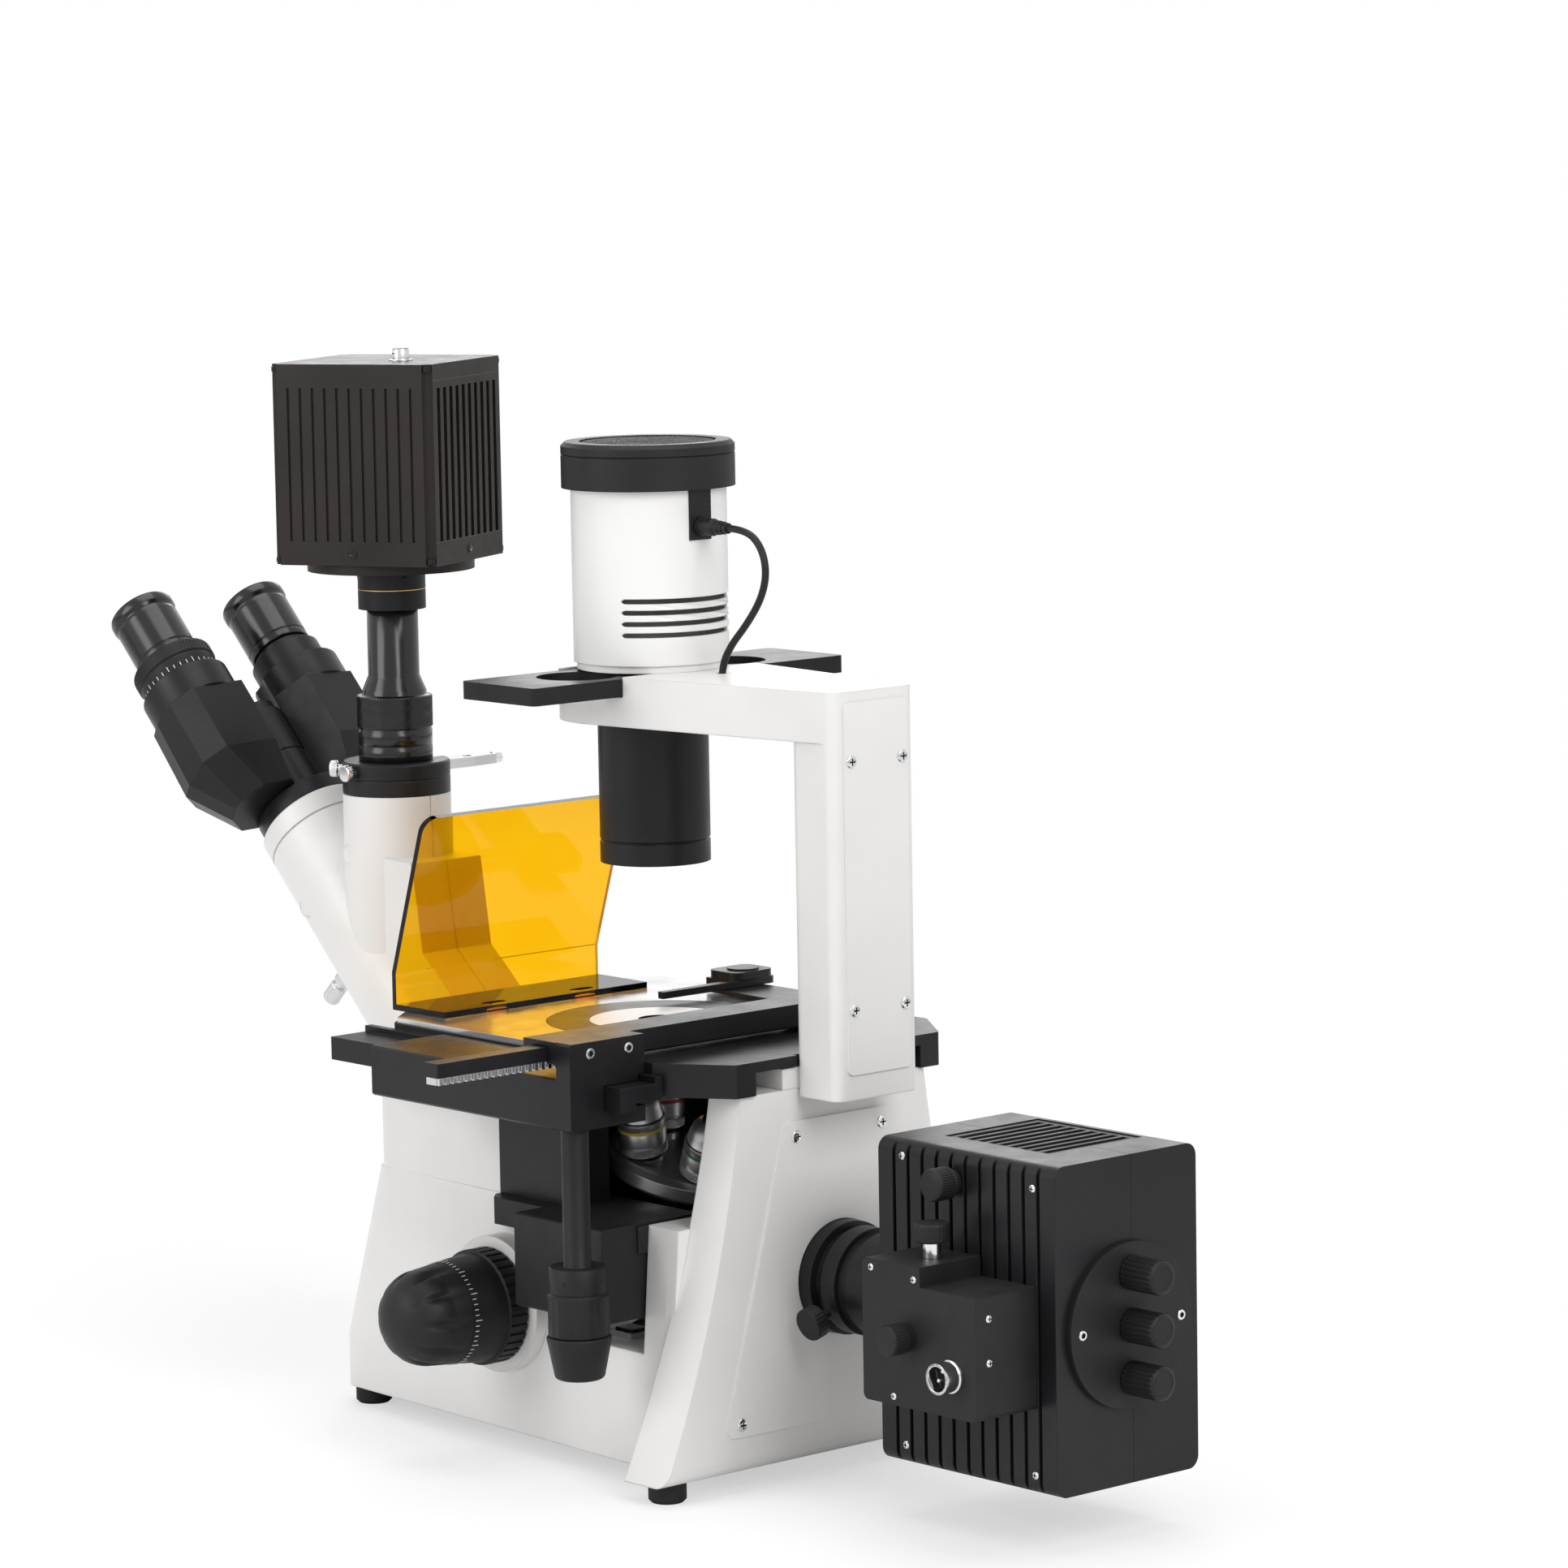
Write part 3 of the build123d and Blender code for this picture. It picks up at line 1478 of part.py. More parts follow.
# Fluorescence port: stepped ring on the rear of the tower
with BuildPart() as port_ring:
    turned(
        (0, tower_rear, epi_level),
        (0, 1, 0),
        [
            (ring_bore, 0),
            (ring_radius, 0),
            (ring_radius, 9),
            (ring_radius - 4, 9.5),
            (ring_radius - 4, 14),
            (ring_radius - 1.5, 14.5),
            (ring_radius - 1.5, 24),
            (ring_radius - 4, 24.5),
            (ring_radius - 4, 30),
            (ring_radius - 2.5, 30.5),
            (ring_radius - 2.5, lamphouse_front - tower_rear),
            (ring_bore, lamphouse_front - tower_rear),
        ],
    )
port_ring.part.label = "port_ring"

# Lamphouse in two shells, with a ribbed right side, louvre, rear disc and socket box
louvre_left = -36.5
louvre_right = 22.5
louvre_front = 226
louvre_rear = 294
with BuildPart() as lamphouse:
    with BuildSketch(Plane.XZ.offset(-lamphouse_front)):
        with Locations((0, (lamphouse_bottom + lamphouse_top) / 2)):
            RectangleRounded(2 * lamphouse_half, lamphouse_top - lamphouse_bottom, lamphouse_corner)
    extrude(amount=lamphouse_front - lamphouse_rear)
    outer_faces = faces().sort_by(Axis.Y)
    inner_half = lamphouse_half - lamphouse_wall
    block(
        (-inner_half, lamphouse_front + lamphouse_wall, lamphouse_bottom + lamphouse_wall),
        (inner_half, lamphouse_rear - lamphouse_wall, lamphouse_top - lamphouse_wall),
        Mode.SUBTRACT,
    )
    block(
        (louvre_left, louvre_front, lamphouse_top - lamphouse_wall),
        (louvre_right, louvre_rear, lamphouse_top),
        Mode.SUBTRACT,
    )
    tube((0, 0, epi_level), (0, 1, 0), ring_bore, 0, lamphouse_front - 1, lamphouse_front + 10, Mode.SUBTRACT)
    rib_start = (lamphouse_front + lamphouse_rear - rib_pitch * (rib_count - 2)) / 2
    for rib in range(rib_count - 1):
        y = rib_start + rib * rib_pitch
        block((lamphouse_half - 2, y - 1.1, 0), (lamphouse_half + 1, y + 1.1, 200), Mode.SUBTRACT)

with BuildPart() as lamphouse_right:
    add(lamphouse.part)
    split(bisect_by=Plane.YZ.offset(lamphouse_split + seam / 2), keep=Keep.TOP)
lamphouse_right.part.label = "lamphouse_right"

with BuildPart() as lamphouse_left:
    add(lamphouse.part)
    split(bisect_by=Plane.YZ.offset(lamphouse_split - seam / 2), keep=Keep.BOTTOM)
lamphouse_left.part.label = "lamphouse_left"

with BuildPart() as lamphouse_louvre:
    slat_count = 9
    block(
        (louvre_left + seam, louvre_front + seam, lamphouse_top - lamphouse_wall),
        (louvre_right - seam, louvre_rear - seam, lamphouse_top - 0.6),
    )
    slat_pitch = (louvre_rear - louvre_front - 6) / slat_count
    with BuildSketch(Plane.XY.offset(lamphouse_top - lamphouse_wall)):
        with Locations(((louvre_left + louvre_right) / 2, (louvre_front + louvre_rear) / 2)):
            with GridLocations(10, slat_pitch, 1, slat_count):
                Rectangle(louvre_right - louvre_left - 7, slat_pitch - 2.4)
    extrude(amount=lamphouse_wall, mode=Mode.SUBTRACT)
lamphouse_louvre.part.label = "lamphouse_louvre"

with BuildPart() as adjuster_disc:
    tube((0, lamphouse_rear, disc_level), (0, 1, 0), disc_radius, 0, 0, disc_thick)
    for step in (-1, 0, 1):
        level = disc_level + step * adjuster_pitch
        tube((0, lamphouse_rear, level), (0, 1, 0), 2 + running_fit, 0, 0, disc_thick, Mode.SUBTRACT)
adjuster_disc.part.label = "adjuster_disc"


def adjuster(level):
    """Lamp centring knob whose stem turns in the rear disc."""
    start = disc_thick + free_gap
    turned(
        (0, lamphouse_rear, level),
        (0, 1, 0),
        [
            (0, 0),
            (2, 0),
            (2, start),
            (adjuster_radius, start),
            (adjuster_radius, start + adjuster_length - 1),
            (adjuster_radius - 1, start + adjuster_length),
            (0, start + adjuster_length),
        ],
    )


with BuildPart() as adjuster_top:
    adjuster(disc_level + adjuster_pitch)
adjuster_top.part.label = "adjuster_top"

with BuildPart() as adjuster_middle:
    adjuster(disc_level)
adjuster_middle.part.label = "adjuster_middle"

with BuildPart() as adjuster_bottom:
    adjuster(disc_level - adjuster_pitch)
adjuster_bottom.part.label = "adjuster_bottom"

# Socket box on the ribbed side, with its connector
with BuildPart() as socket_box:
    with BuildSketch(Plane.YZ.offset(lamphouse_half)):
        with Locations(((socket_front + socket_rear) / 2, (socket_bottom + socket_top) / 2)):
            RectangleRounded(socket_rear - socket_front, socket_top - socket_bottom, 3)
    extrude(amount=socket_right - lamphouse_half)
    block((lamphouse_half, 272, socket_top - 9), (socket_right, socket_rear + 1, socket_top + 1), Mode.SUBTRACT)
    tube((socket_right, 292, 85), (-1, 0, 0), 7, 0, 0, 4, Mode.SUBTRACT)
socket_box.part.label = "socket_box"

with BuildPart() as power_connector:
    tube((socket_right, 292, 85), (1, 0, 0), 7, 5.8, -4, 9)
    tube((socket_right, 292, 85), (1, 0, 0), 5.8, 0, -4, -1)
    for bearing in (90, 210, 330):
        pin_y = 292 + 3 * cos(radians(bearing))
        pin_z = 85 + 3 * sin(radians(bearing))
        tube((socket_right, pin_y, pin_z), (1, 0, 0), 0.9, 0, -1, 5)
electrical_fittings = BuildPart()
electrical_fittings.part = gathered(rocker_frame, power_connector)
electrical_fittings.part.label = "electrical_fittings"

collector_y = 254.6
collector_z = 162.5
with BuildPart() as collector_knob:
    tube((lamphouse_half, collector_y, collector_z), (1, 0, 0), 7.5, 0, 0.3, 14)
collector_knob.part.label = "collector_knob"

with BuildPart() as lock_knobs:
    turned(
        (62, 259, socket_top),
        (0, 0, 1),
        [(0, 0), (4, 0), (4, 7), (8, 7.5), (8, 15), (7, 16), (0, 16)],
    )
    tube((socket_right, 262, 98), (1, 0, 0), 7, 0, 0, 12)
    turned(
        (ring_radius - 1.5, tower_rear + 19, epi_level - 12),
        (1, 0, -0.3),
        [(0, -3), (2.5, -3), (2.5, 6), (8, 6.5), (8, 13), (0, 13.5)],
    )
    add(port_ring.part, mode=Mode.SUBTRACT)
thumbscrews.part = gathered(thumbscrews, lock_knobs)
thumbscrews.part.label = "thumbscrews"

pieces = (
    base_casting, bottom_plate, circuit_boards, rubber_feet, mirrors, lenses, rear_covers, cover_screws,
    illumination_column, condenser_tube, phase_slider, lamp_housing, lamp_cap, lamp_plug, lamp_cord, bulbs,
    stage_casting, stage_plate, stage_insert, y_carriage, x_bar, specimen_finger,
    y_drive_knob, x_drive_knob, light_shield,
    head_right, head_left, head_collar, eyetube_hub, prism_housing_right, prism_housing_left,
    diopter_ring, eyepiece_right, eyepiece_left,
    port_clamp, light_path_lever, photo_tube, camera_mount, camera_body, thumbscrews,
    focus_housing, filter_housing, nosepiece_carriage, objective_turret, objectives,
    coarse_knobs, fine_knobs, power_rocker, brightness_dial, electrical_fittings,
    port_ring, lamphouse_right, lamphouse_left, lamphouse_louvre, adjuster_disc,
    adjuster_top, adjuster_middle, adjuster_bottom, socket_box, collector_knob,
)

# Stand the microscope over the middle of its own footprint
whole = Compound([piece.part for piece in pieces]).bounding_box()
to_origin = Location((-(whole.min.X + whole.max.X) / 2, -(whole.min.Y + whole.max.Y) / 2, -whole.min.Z))
print("optical axis at", tuple(round(v, 3) for v in to_origin.position), "size", whole.size)
for piece in pieces:
    label = piece.part.label
    placed = piece.part.moved(to_origin)
    placed.label = label
    export_step(placed, f"parts/{label}.step")
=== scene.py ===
import bpy
import bmesh
from math import ceil, cos, exp, pi, radians, sin, sqrt
from mathutils import Matrix, Vector


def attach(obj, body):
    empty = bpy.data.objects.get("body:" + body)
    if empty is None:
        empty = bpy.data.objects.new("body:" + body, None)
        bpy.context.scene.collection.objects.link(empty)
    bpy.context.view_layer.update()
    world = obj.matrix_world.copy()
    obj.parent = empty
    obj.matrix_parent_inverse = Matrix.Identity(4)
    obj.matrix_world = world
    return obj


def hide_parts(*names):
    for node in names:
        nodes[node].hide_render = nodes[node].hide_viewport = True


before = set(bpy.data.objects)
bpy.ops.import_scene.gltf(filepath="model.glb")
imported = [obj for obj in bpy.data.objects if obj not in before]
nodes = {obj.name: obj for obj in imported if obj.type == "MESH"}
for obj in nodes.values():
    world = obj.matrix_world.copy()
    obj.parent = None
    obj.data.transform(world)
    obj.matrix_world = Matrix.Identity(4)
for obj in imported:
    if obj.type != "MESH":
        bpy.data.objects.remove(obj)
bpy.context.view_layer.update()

MM = 0.001
X, Y, Z = Vector((1, 0, 0)), Vector((0, 1, 0)), Vector((0, 0, 1))

# The optical axis in the shared frame. Every other place below is in mm from it.
AXIS = Vector((-23.85, 18.724, 0.0))

# The eyetubes leave the neck's flange at 45 degrees
S = sqrt(0.5)
EYE = Vector((0, -S, S))
EYE_UP = Vector((0, S, S))
FLANGE = Vector((0, -271.5, 276.7))

# Axes of the camera port, the focus knobs and the stage drive
PORT = Vector((0, -202, 0))
KNOB = Vector((0, -25, 72))
DRIVE = Vector((122, 82, 0))

# The photo's camera, solved from the photo: sizes in pixels, the sensor in mm
PHOTO_PIXELS = 1932
FOCAL_PIXELS = 7551.4
SENSOR = 36
CAMERA_PLACE = (1897.9, 2238.6, 682.5)


def at(x, y, z):
    """Millimetres from the optical axis to metres in the shared frame."""
    return (Vector((x, y, z)) + AXIS) * MM


# Materials
def new_material(name):
    mat = bpy.data.materials.new(name)
    mat.use_nodes = True
    tree = mat.node_tree
    shader = tree.nodes["Principled BSDF"]
    coords = tree.nodes.new("ShaderNodeTexCoord")
    return mat, tree, shader, coords.outputs["Object"]


def noise(tree, vector, scale, detail):
    node = tree.nodes.new("ShaderNodeTexNoise")
    node.inputs["Scale"].default_value = scale
    node.inputs["Detail"].default_value = detail
    node.inputs["Roughness"].default_value = 0.55
    tree.links.new(vector, node.inputs["Vector"])
    return node.outputs["Fac"]


def ramp(tree, value, stops):
    node = tree.nodes.new("ShaderNodeValToRGB")
    points = node.color_ramp.elements
    while len(points) < len(stops):
        points.new(0.5)
    for point, (place, colour) in zip(points, stops):
        point.position = place
        point.color = (*colour, 1)
    tree.links.new(value, node.inputs["Fac"])
    return node.outputs["Color"]


def spread(tree, value, low, high):
    """Spread the middle of a noise over a range."""
    node = tree.nodes.new("ShaderNodeMapRange")
    node.inputs["From Min"].default_value = 0.3
    node.inputs["From Max"].default_value = 0.7
    node.inputs["To Min"].default_value = low
    node.inputs["To Max"].default_value = high
    tree.links.new(value, node.inputs["Value"])
    return node.outputs["Result"]


def soft_edges(tree, shader, height, strength, distance, radius):
    """Grain as bump, over edges that catch the light as if rounded."""
    bevel = tree.nodes.new("ShaderNodeBevel")
    bevel.samples = 4
    bevel.inputs["Radius"].default_value = radius
    bump = tree.nodes.new("ShaderNodeBump")
    bump.inputs["Strength"].default_value = strength
    bump.inputs["Distance"].default_value = distance
    tree.links.new(height, bump.inputs["Height"])
    tree.links.new(bevel.outputs["Normal"], bump.inputs["Normal"])
    tree.links.new(bump.outputs["Normal"], shader.inputs["Normal"])


def coated(name, dark, light, rough, grain, bump, radius, metal=0.0, coat=0.0, stretch=None, shine=0.5):
    """Paint, plastic or metal: cloudy tone, uneven gloss and a fine grain."""
    mat, tree, shader, vector = new_material(name)
    grain_vector = vector
    if stretch:
        mapping = tree.nodes.new("ShaderNodeMapping")
        mapping.inputs["Scale"].default_value = stretch
        tree.links.new(vector, mapping.inputs["Vector"])
        grain_vector = mapping.outputs["Vector"]
    cloud = noise(tree, vector, 14.0, 4.0)
    tree.links.new(ramp(tree, cloud, [(0.3, dark), (0.7, light)]), shader.inputs["Base Color"])
    fine = noise(tree, grain_vector, grain, 2.0)
    patch = noise(tree, grain_vector, grain * 0.06, 3.0)
    tree.links.new(spread(tree, patch, rough[0], rough[1]), shader.inputs["Roughness"])
    shader.inputs["Metallic"].default_value = metal
    shader.inputs["Specular IOR Level"].default_value = shine
    shader.inputs["Coat Weight"].default_value = coat
    shader.inputs["Coat Roughness"].default_value = 0.12
    soft_edges(tree, shader, fine, bump, 0.0002, radius)
    return mat


M = {
    "ivory": coated("ivory_enamel", (0.70, 0.69, 0.68), (0.76, 0.75, 0.735), (0.34, 0.44), 520, 0.10,
                    0.0012),
    "white": coated("white_enamel", (0.76, 0.755, 0.74), (0.81, 0.805, 0.79), (0.30, 0.40), 560, 0.08,
                    0.0008),
    "pale": coated("pale_plate", (0.71, 0.70, 0.685), (0.76, 0.75, 0.73), (0.36, 0.46), 800, 0.12, 0.0004),
    "black": coated("black_enamel", (0.0075, 0.0075, 0.0085), (0.013, 0.013, 0.015), (0.30, 0.42), 900,
                    0.30, 0.0007, shine=0.22),
    "plastic": coated("black_plastic", (0.009, 0.009, 0.010), (0.017, 0.017, 0.018), (0.42, 0.55), 1300,
                      0.30, 0.0005, shine=0.22),
    "gloss": coated("gloss_black", (0.006, 0.006, 0.007), (0.010, 0.010, 0.012), (0.16, 0.26), 500, 0.04,
                    0.0006, coat=0.15, shine=0.35),
    "brown": coated("anodised_brown", (0.013, 0.010, 0.009), (0.022, 0.017, 0.015), (0.36, 0.48), 1500,
                    0.25, 0.0004, metal=0.2, shine=0.25),
    "steel": coated("bright_steel", (0.50, 0.50, 0.51), (0.66, 0.66, 0.67), (0.20, 0.34), 900, 0.15,
                    0.0003, metal=1.0, stretch=(0.04, 1, 1)),
    "chrome": coated("chrome", (0.62, 0.62, 0.63), (0.74, 0.74, 0.75), (0.10, 0.20), 700, 0.05, 0.0004,
                     metal=1.0),
    "satin": coated("silver_aluminium", (0.44, 0.44, 0.445), (0.54, 0.54, 0.545), (0.28, 0.40), 1100,
                    0.12, 0.0004, metal=0.85),
    "mirror": coated("mirror_glass", (0.80, 0.81, 0.82), (0.86, 0.87, 0.88), (0.03, 0.06), 300, 0.01,
                     0.0003, metal=1.0),
    "rubber": coated("rubber", (0.010, 0.010, 0.010), (0.020, 0.020, 0.020), (0.65, 0.80), 1500, 0.40,
                     0.0006, shine=0.25),
    "cable": coated("cable_black", (0.008, 0.008, 0.008), (0.015, 0.015, 0.015), (0.38, 0.50), 1500, 0.20,
                    0.0002, shine=0.25),
    "board": coated("board_green", (0.010, 0.055, 0.028), (0.018, 0.085, 0.042), (0.30, 0.45), 900, 0.15,
                    0.0003),
    "mark": coated("white_mark", (0.70, 0.70, 0.69), (0.80, 0.80, 0.79), (0.45, 0.55), 900, 0.10, 0.0001),
    "green": coated("green_ring", (0.012, 0.16, 0.05), (0.02, 0.22, 0.075), (0.35, 0.45), 900, 0.10,
                    0.0001),
    "yellow": coated("yellow_ring", (0.62, 0.44, 0.03), (0.72, 0.52, 0.05), (0.35, 0.45), 900, 0.10,
                     0.0001),
    "red": coated("red_ring", (0.42, 0.02, 0.02), (0.52, 0.035, 0.03), (0.35, 0.45), 900, 0.10, 0.0001),
    "blue": coated("blue_ring", (0.02, 0.10, 0.42), (0.03, 0.14, 0.52), (0.35, 0.45), 900, 0.10, 0.0001),
    "gold": coated("gold_line", (0.60, 0.42, 0.16), (0.72, 0.52, 0.22), (0.22, 0.34), 900, 0.05, 0.0001,
                   metal=1.0),
    "plate": coated("stage_silver", (0.60, 0.60, 0.61), (0.70, 0.70, 0.71), (0.13, 0.22), 900, 0.06,
                    0.0003, metal=0.9),
}


def glass(name, colour, rough, ior, dark=None):
    """Clear material with faint smears, and a second tone if one is given."""
    mat, tree, shader, vector = new_material(name)
    cloud = noise(tree, vector, 20.0, 2.0)
    tree.links.new(ramp(tree, cloud, [(0.2, dark or colour), (0.8, colour)]), shader.inputs["Base Color"])
    smear = noise(tree, vector, 60.0, 3.0)
    tree.links.new(spread(tree, smear, rough, rough * 2.2), shader.inputs["Roughness"])
    shader.inputs["Transmission Weight"].default_value = 1.0
    shader.inputs["IOR"].default_value = ior
    return mat


M["glass"] = glass("lens_glass", (0.90, 0.96, 0.98), 0.01, 1.5)
M["lens_coat"] = glass("coated_lens", (0.50, 0.62, 0.86), 0.01, 1.6)
M["amber"] = glass("amber_acrylic", (1.0, 0.55, 0.005), 0.02, 1.3, (1.0, 0.49, 0.003))

# CAD nodes by finish
FINISH = {
    "ivory": "base_casting illumination_column head_right head_left head_collar",
    "white": "lamp_housing",
    "pale": "rear_covers",
    "black": "prism_housing_right prism_housing_left port_clamp focus_housing bottom_plate condenser_tube "
             "phase_slider stage_casting stage_insert y_carriage specimen_finger eyetube_hub "
             "nosepiece_carriage port_ring lamphouse_right lamphouse_left camera_mount",
    "plastic": "lamp_cap diopter_ring filter_housing coarse_knobs fine_knobs brightness_dial "
               "lamphouse_louvre adjuster_disc adjuster_top adjuster_middle adjuster_bottom socket_box "
               "collector_knob y_drive_knob x_drive_knob",
    "gloss": "photo_tube eyepiece_right eyepiece_left power_rocker",
    "brown": "camera_body",
    "steel": "x_bar",
    "chrome": "light_path_lever cover_screws electrical_fittings thumbscrews",
    "satin": "objective_turret objectives",
    "plate": "stage_plate",
    "amber": "light_shield",
    "glass": "lenses bulbs",
    "mirror": "mirrors",
    "rubber": "rubber_feet",
    "cable": "lamp_plug lamp_cord",
    "board": "circuit_boards",
}
for finish, names in FINISH.items():
    for name in names.split():
        mesh = nodes[name].data
        mesh.materials.clear()
        mesh.materials.append(M[finish])


def paint_faces(name, finish, wanted):
    """Second finish on the faces of a CAD node whose centre passes a test, in mm from the optical axis."""
    mesh = nodes[name].data
    mesh.materials.append(M[finish])
    index = len(mesh.materials) - 1
    for face in mesh.polygons:
        centre = face.center / MM - AXIS
        if wanted(centre, face.normal):
            face.material_index = index


paint_faces("x_bar", "black", lambda c, n: c.z > 207.6 or c.x < 60)
paint_faces("condenser_tube", "white", lambda c, n: c.z > 370)
paint_faces("stage_insert", "white", lambda c, n: sqrt(c.x ** 2 + c.y ** 2) < 34 and c.z > 203)


# Mesh helpers
def finish_object(name, mesh, material, body, smooth=30):
    """Put a mesh on a body, with one finish or several; the first one is the finish of faces with index 0."""
    finishes = [material] if isinstance(material, str) else list(material)
    obj = bpy.data.objects.new(name, mesh)
    bpy.context.scene.collection.objects.link(obj)
    for one in finishes:
        mesh.materials.append(M[one])
    mesh.polygons.foreach_set("use_smooth", [True] * len(mesh.polygons))
    mesh.set_sharp_from_angle(angle=radians(smooth))
    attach(obj, body)
    return obj


def side_axes(direction):
    """Two directions square to this one, and this one with length 1."""
    along = direction.normalized()
    side = X if abs(along.x) < 0.9 else Y
    side = (side - along * side.dot(along)).normalized()
    return side, along.cross(side), along


def add_lathe(bm, origin, direction, profile, segments=64, shape=None, closed=False):
    """Revolve (radius, height, material) points; shape(angle, height, radius) adds to the radius."""
    a, b, along = side_axes(direction)
    rows = []
    for point in profile:
        radius, height = point[0], point[1]
        row = []
        count = segments if radius > 1e-6 else 1
        for k in range(count):
            turn = 2 * pi * k / segments
            r = radius + (shape(turn, height, radius) if shape and radius > 1e-6 else 0)
            place = origin + along * height + (a * cos(turn) + b * sin(turn)) * r
            row.append(bm.verts.new(at(*place)))
        rows.append(row)
    pairs = list(zip(rows, rows[1:]))
    if closed:
        pairs.append((rows[-1], rows[0]))
    for level, (low, high) in enumerate(pairs):
        which = profile[level][2] if len(profile[level]) > 2 else 0
        for k in range(segments):
            n = (k + 1) % segments
            if len(low) == 1 and len(high) == 1:
                continue
            if len(low) == 1:
                corners = (low[0], high[n], high[k])
            elif len(high) == 1:
                corners = (low[k], low[n], high[0])
            else:
                corners = (low[k], low[n], high[n], high[k])
            face = bm.faces.new(corners)
            face.material_index = which


def to_mesh(bm, name):
    bmesh.ops.recalc_face_normals(bm, faces=bm.faces)
    mesh = bpy.data.meshes.new(name)
    bm.to_mesh(mesh)
    bm.free()
    return mesh


def lathe(name, origin, direction, profile, material, body, segments=64, shape=None, smooth=30):
    bm = bmesh.new()
    add_lathe(bm, Vector(origin), Vector(direction), profile, segments, shape)
    return finish_object(name, to_mesh(bm, name), material, body, smooth)


def add_block(bm, centre, axes, size, bevel, index=0):
    """Box on three directions, with bevelled edges unless the bevel is 0."""
    part = bmesh.new()
    bmesh.ops.create_cube(part, size=1)
    turn = Matrix((axes[0], axes[1], axes[2])).transposed()
    for v in part.verts:
        v.co = Vector((v.co.x * size[0], v.co.y * size[1], v.co.z * size[2]))
    if bevel:
        bmesh.ops.bevel(part, geom=part.edges[:], offset=bevel, segments=2, affect="EDGES", profile=0.6)
    for v in part.verts:
        v.co = at(*(turn @ v.co + centre))
    for f in part.faces:
        f.material_index = index
    mesh = bpy.data.meshes.new("part")
    part.to_mesh(mesh)
    part.free()
    bm.from_mesh(mesh)
    bpy.data.meshes.remove(mesh)


def add_screw(bm, origin, direction, radius, height, kind="cross"):
    """Domed head with a cross recess, or a cap head with a round socket; the recess has the second finish."""
    origin, direction = Vector(origin), Vector(direction).normalized()
    a, b, along = side_axes(direction)
    recess = 1
    if kind == "socket":
        profile = [(radius, 0), (radius, height - 0.3), (radius - 0.3, height),
                   (radius * 0.52, height, recess), (radius * 0.5, height - 1.2, recess),
                   (0, height - 1.4, recess)]
        add_lathe(bm, origin, direction, profile, 24)
        return
    profile = [(radius, 0), (radius, height * 0.35), (radius * 0.86, height * 0.75),
               (radius * 0.5, height * 0.97), (0, height)]
    add_lathe(bm, origin, direction, profile, 24)
    for one, other in ((a, b), (b, -a)):
        add_block(bm, origin + along * (height - 0.15), (one, other, along),
                  (radius * 1.15, radius * 0.24, 0.5), 0, recess)


def screws(name, places, material, body, radius, height, kind="cross"):
    bm = bmesh.new()
    for origin, direction in places:
        add_screw(bm, origin, direction, radius, height, kind)
    finish_object(name, to_mesh(bm, name), (material, "black"), body, 35)


def diamond(count, depth, pitch):
    """Crossed knurl: two sets of grooves that run round the surface."""
    def shape(turn, height, radius):
        one = abs(sin(count * turn / 2 + pi * height / pitch))
        two = abs(sin(count * turn / 2 - pi * height / pitch))
        return depth * (min(one, two) - 1)
    return shape


def ribs(count, depth, power):
    """Straight grooves along the axis; a higher power makes them narrower."""
    def shape(turn, height, radius):
        return -depth * abs(cos(count * turn / 2)) ** power
    return shape


def dimples(count, middle, half, depth):
    """Hollows round a knob, deepest at the height called middle."""
    def shape(turn, height, radius):
        return -depth * max(0.0, cos(count * turn)) ** 2 * exp(-((height - middle) / half) ** 2)
    return shape


def between(low, high, shape):
    """A shape that works only between two heights."""
    def limited(turn, height, radius):
        return shape(turn, height, radius) if low < height < high else 0
    return limited


def levels(low, high, step):
    """Even heights from low to high, not more than a step apart."""
    count = max(1, ceil((high - low) / step))
    return [low + (high - low) * k / count for k in range(count + 1)]


# Camera, light and floor
yaw, pitch, roll = radians(138.487), radians(7.107), radians(1.003)
back = Vector((sin(yaw) * cos(pitch), -cos(yaw) * cos(pitch), sin(pitch)))
level_right = Vector((cos(yaw), sin(yaw), 0))
level_up = back.cross(level_right)
right = level_right * cos(roll) - level_up * sin(roll)
up = level_right * sin(roll) + level_up * cos(roll)
camera = bpy.data.objects.new("camera", bpy.data.cameras.new("camera"))
bpy.context.scene.collection.objects.link(camera)
camera.data.sensor_width = SENSOR
camera.data.lens = FOCAL_PIXELS / PHOTO_PIXELS * SENSOR
camera.data.clip_end = 100
turned = Matrix((right, up, back)).transposed().to_4x4()
camera.matrix_world = Matrix.Translation(at(*CAMERA_PLACE)) @ turned
bpy.context.scene.camera = camera
bpy.context.scene.view_settings.view_transform = "Standard"

world = bpy.data.worlds.new("studio")
bpy.context.scene.world = world
world.use_nodes = True
sky = world.node_tree
plain = sky.nodes["Background"]
plain.inputs["Color"].default_value = (1, 1, 1, 1)
plain.inputs["Strength"].default_value = 0.42
seen = sky.nodes.new("ShaderNodeBackground")
seen.inputs["Color"].default_value = (1, 1, 1, 1)
seen.inputs["Strength"].default_value = 1.0
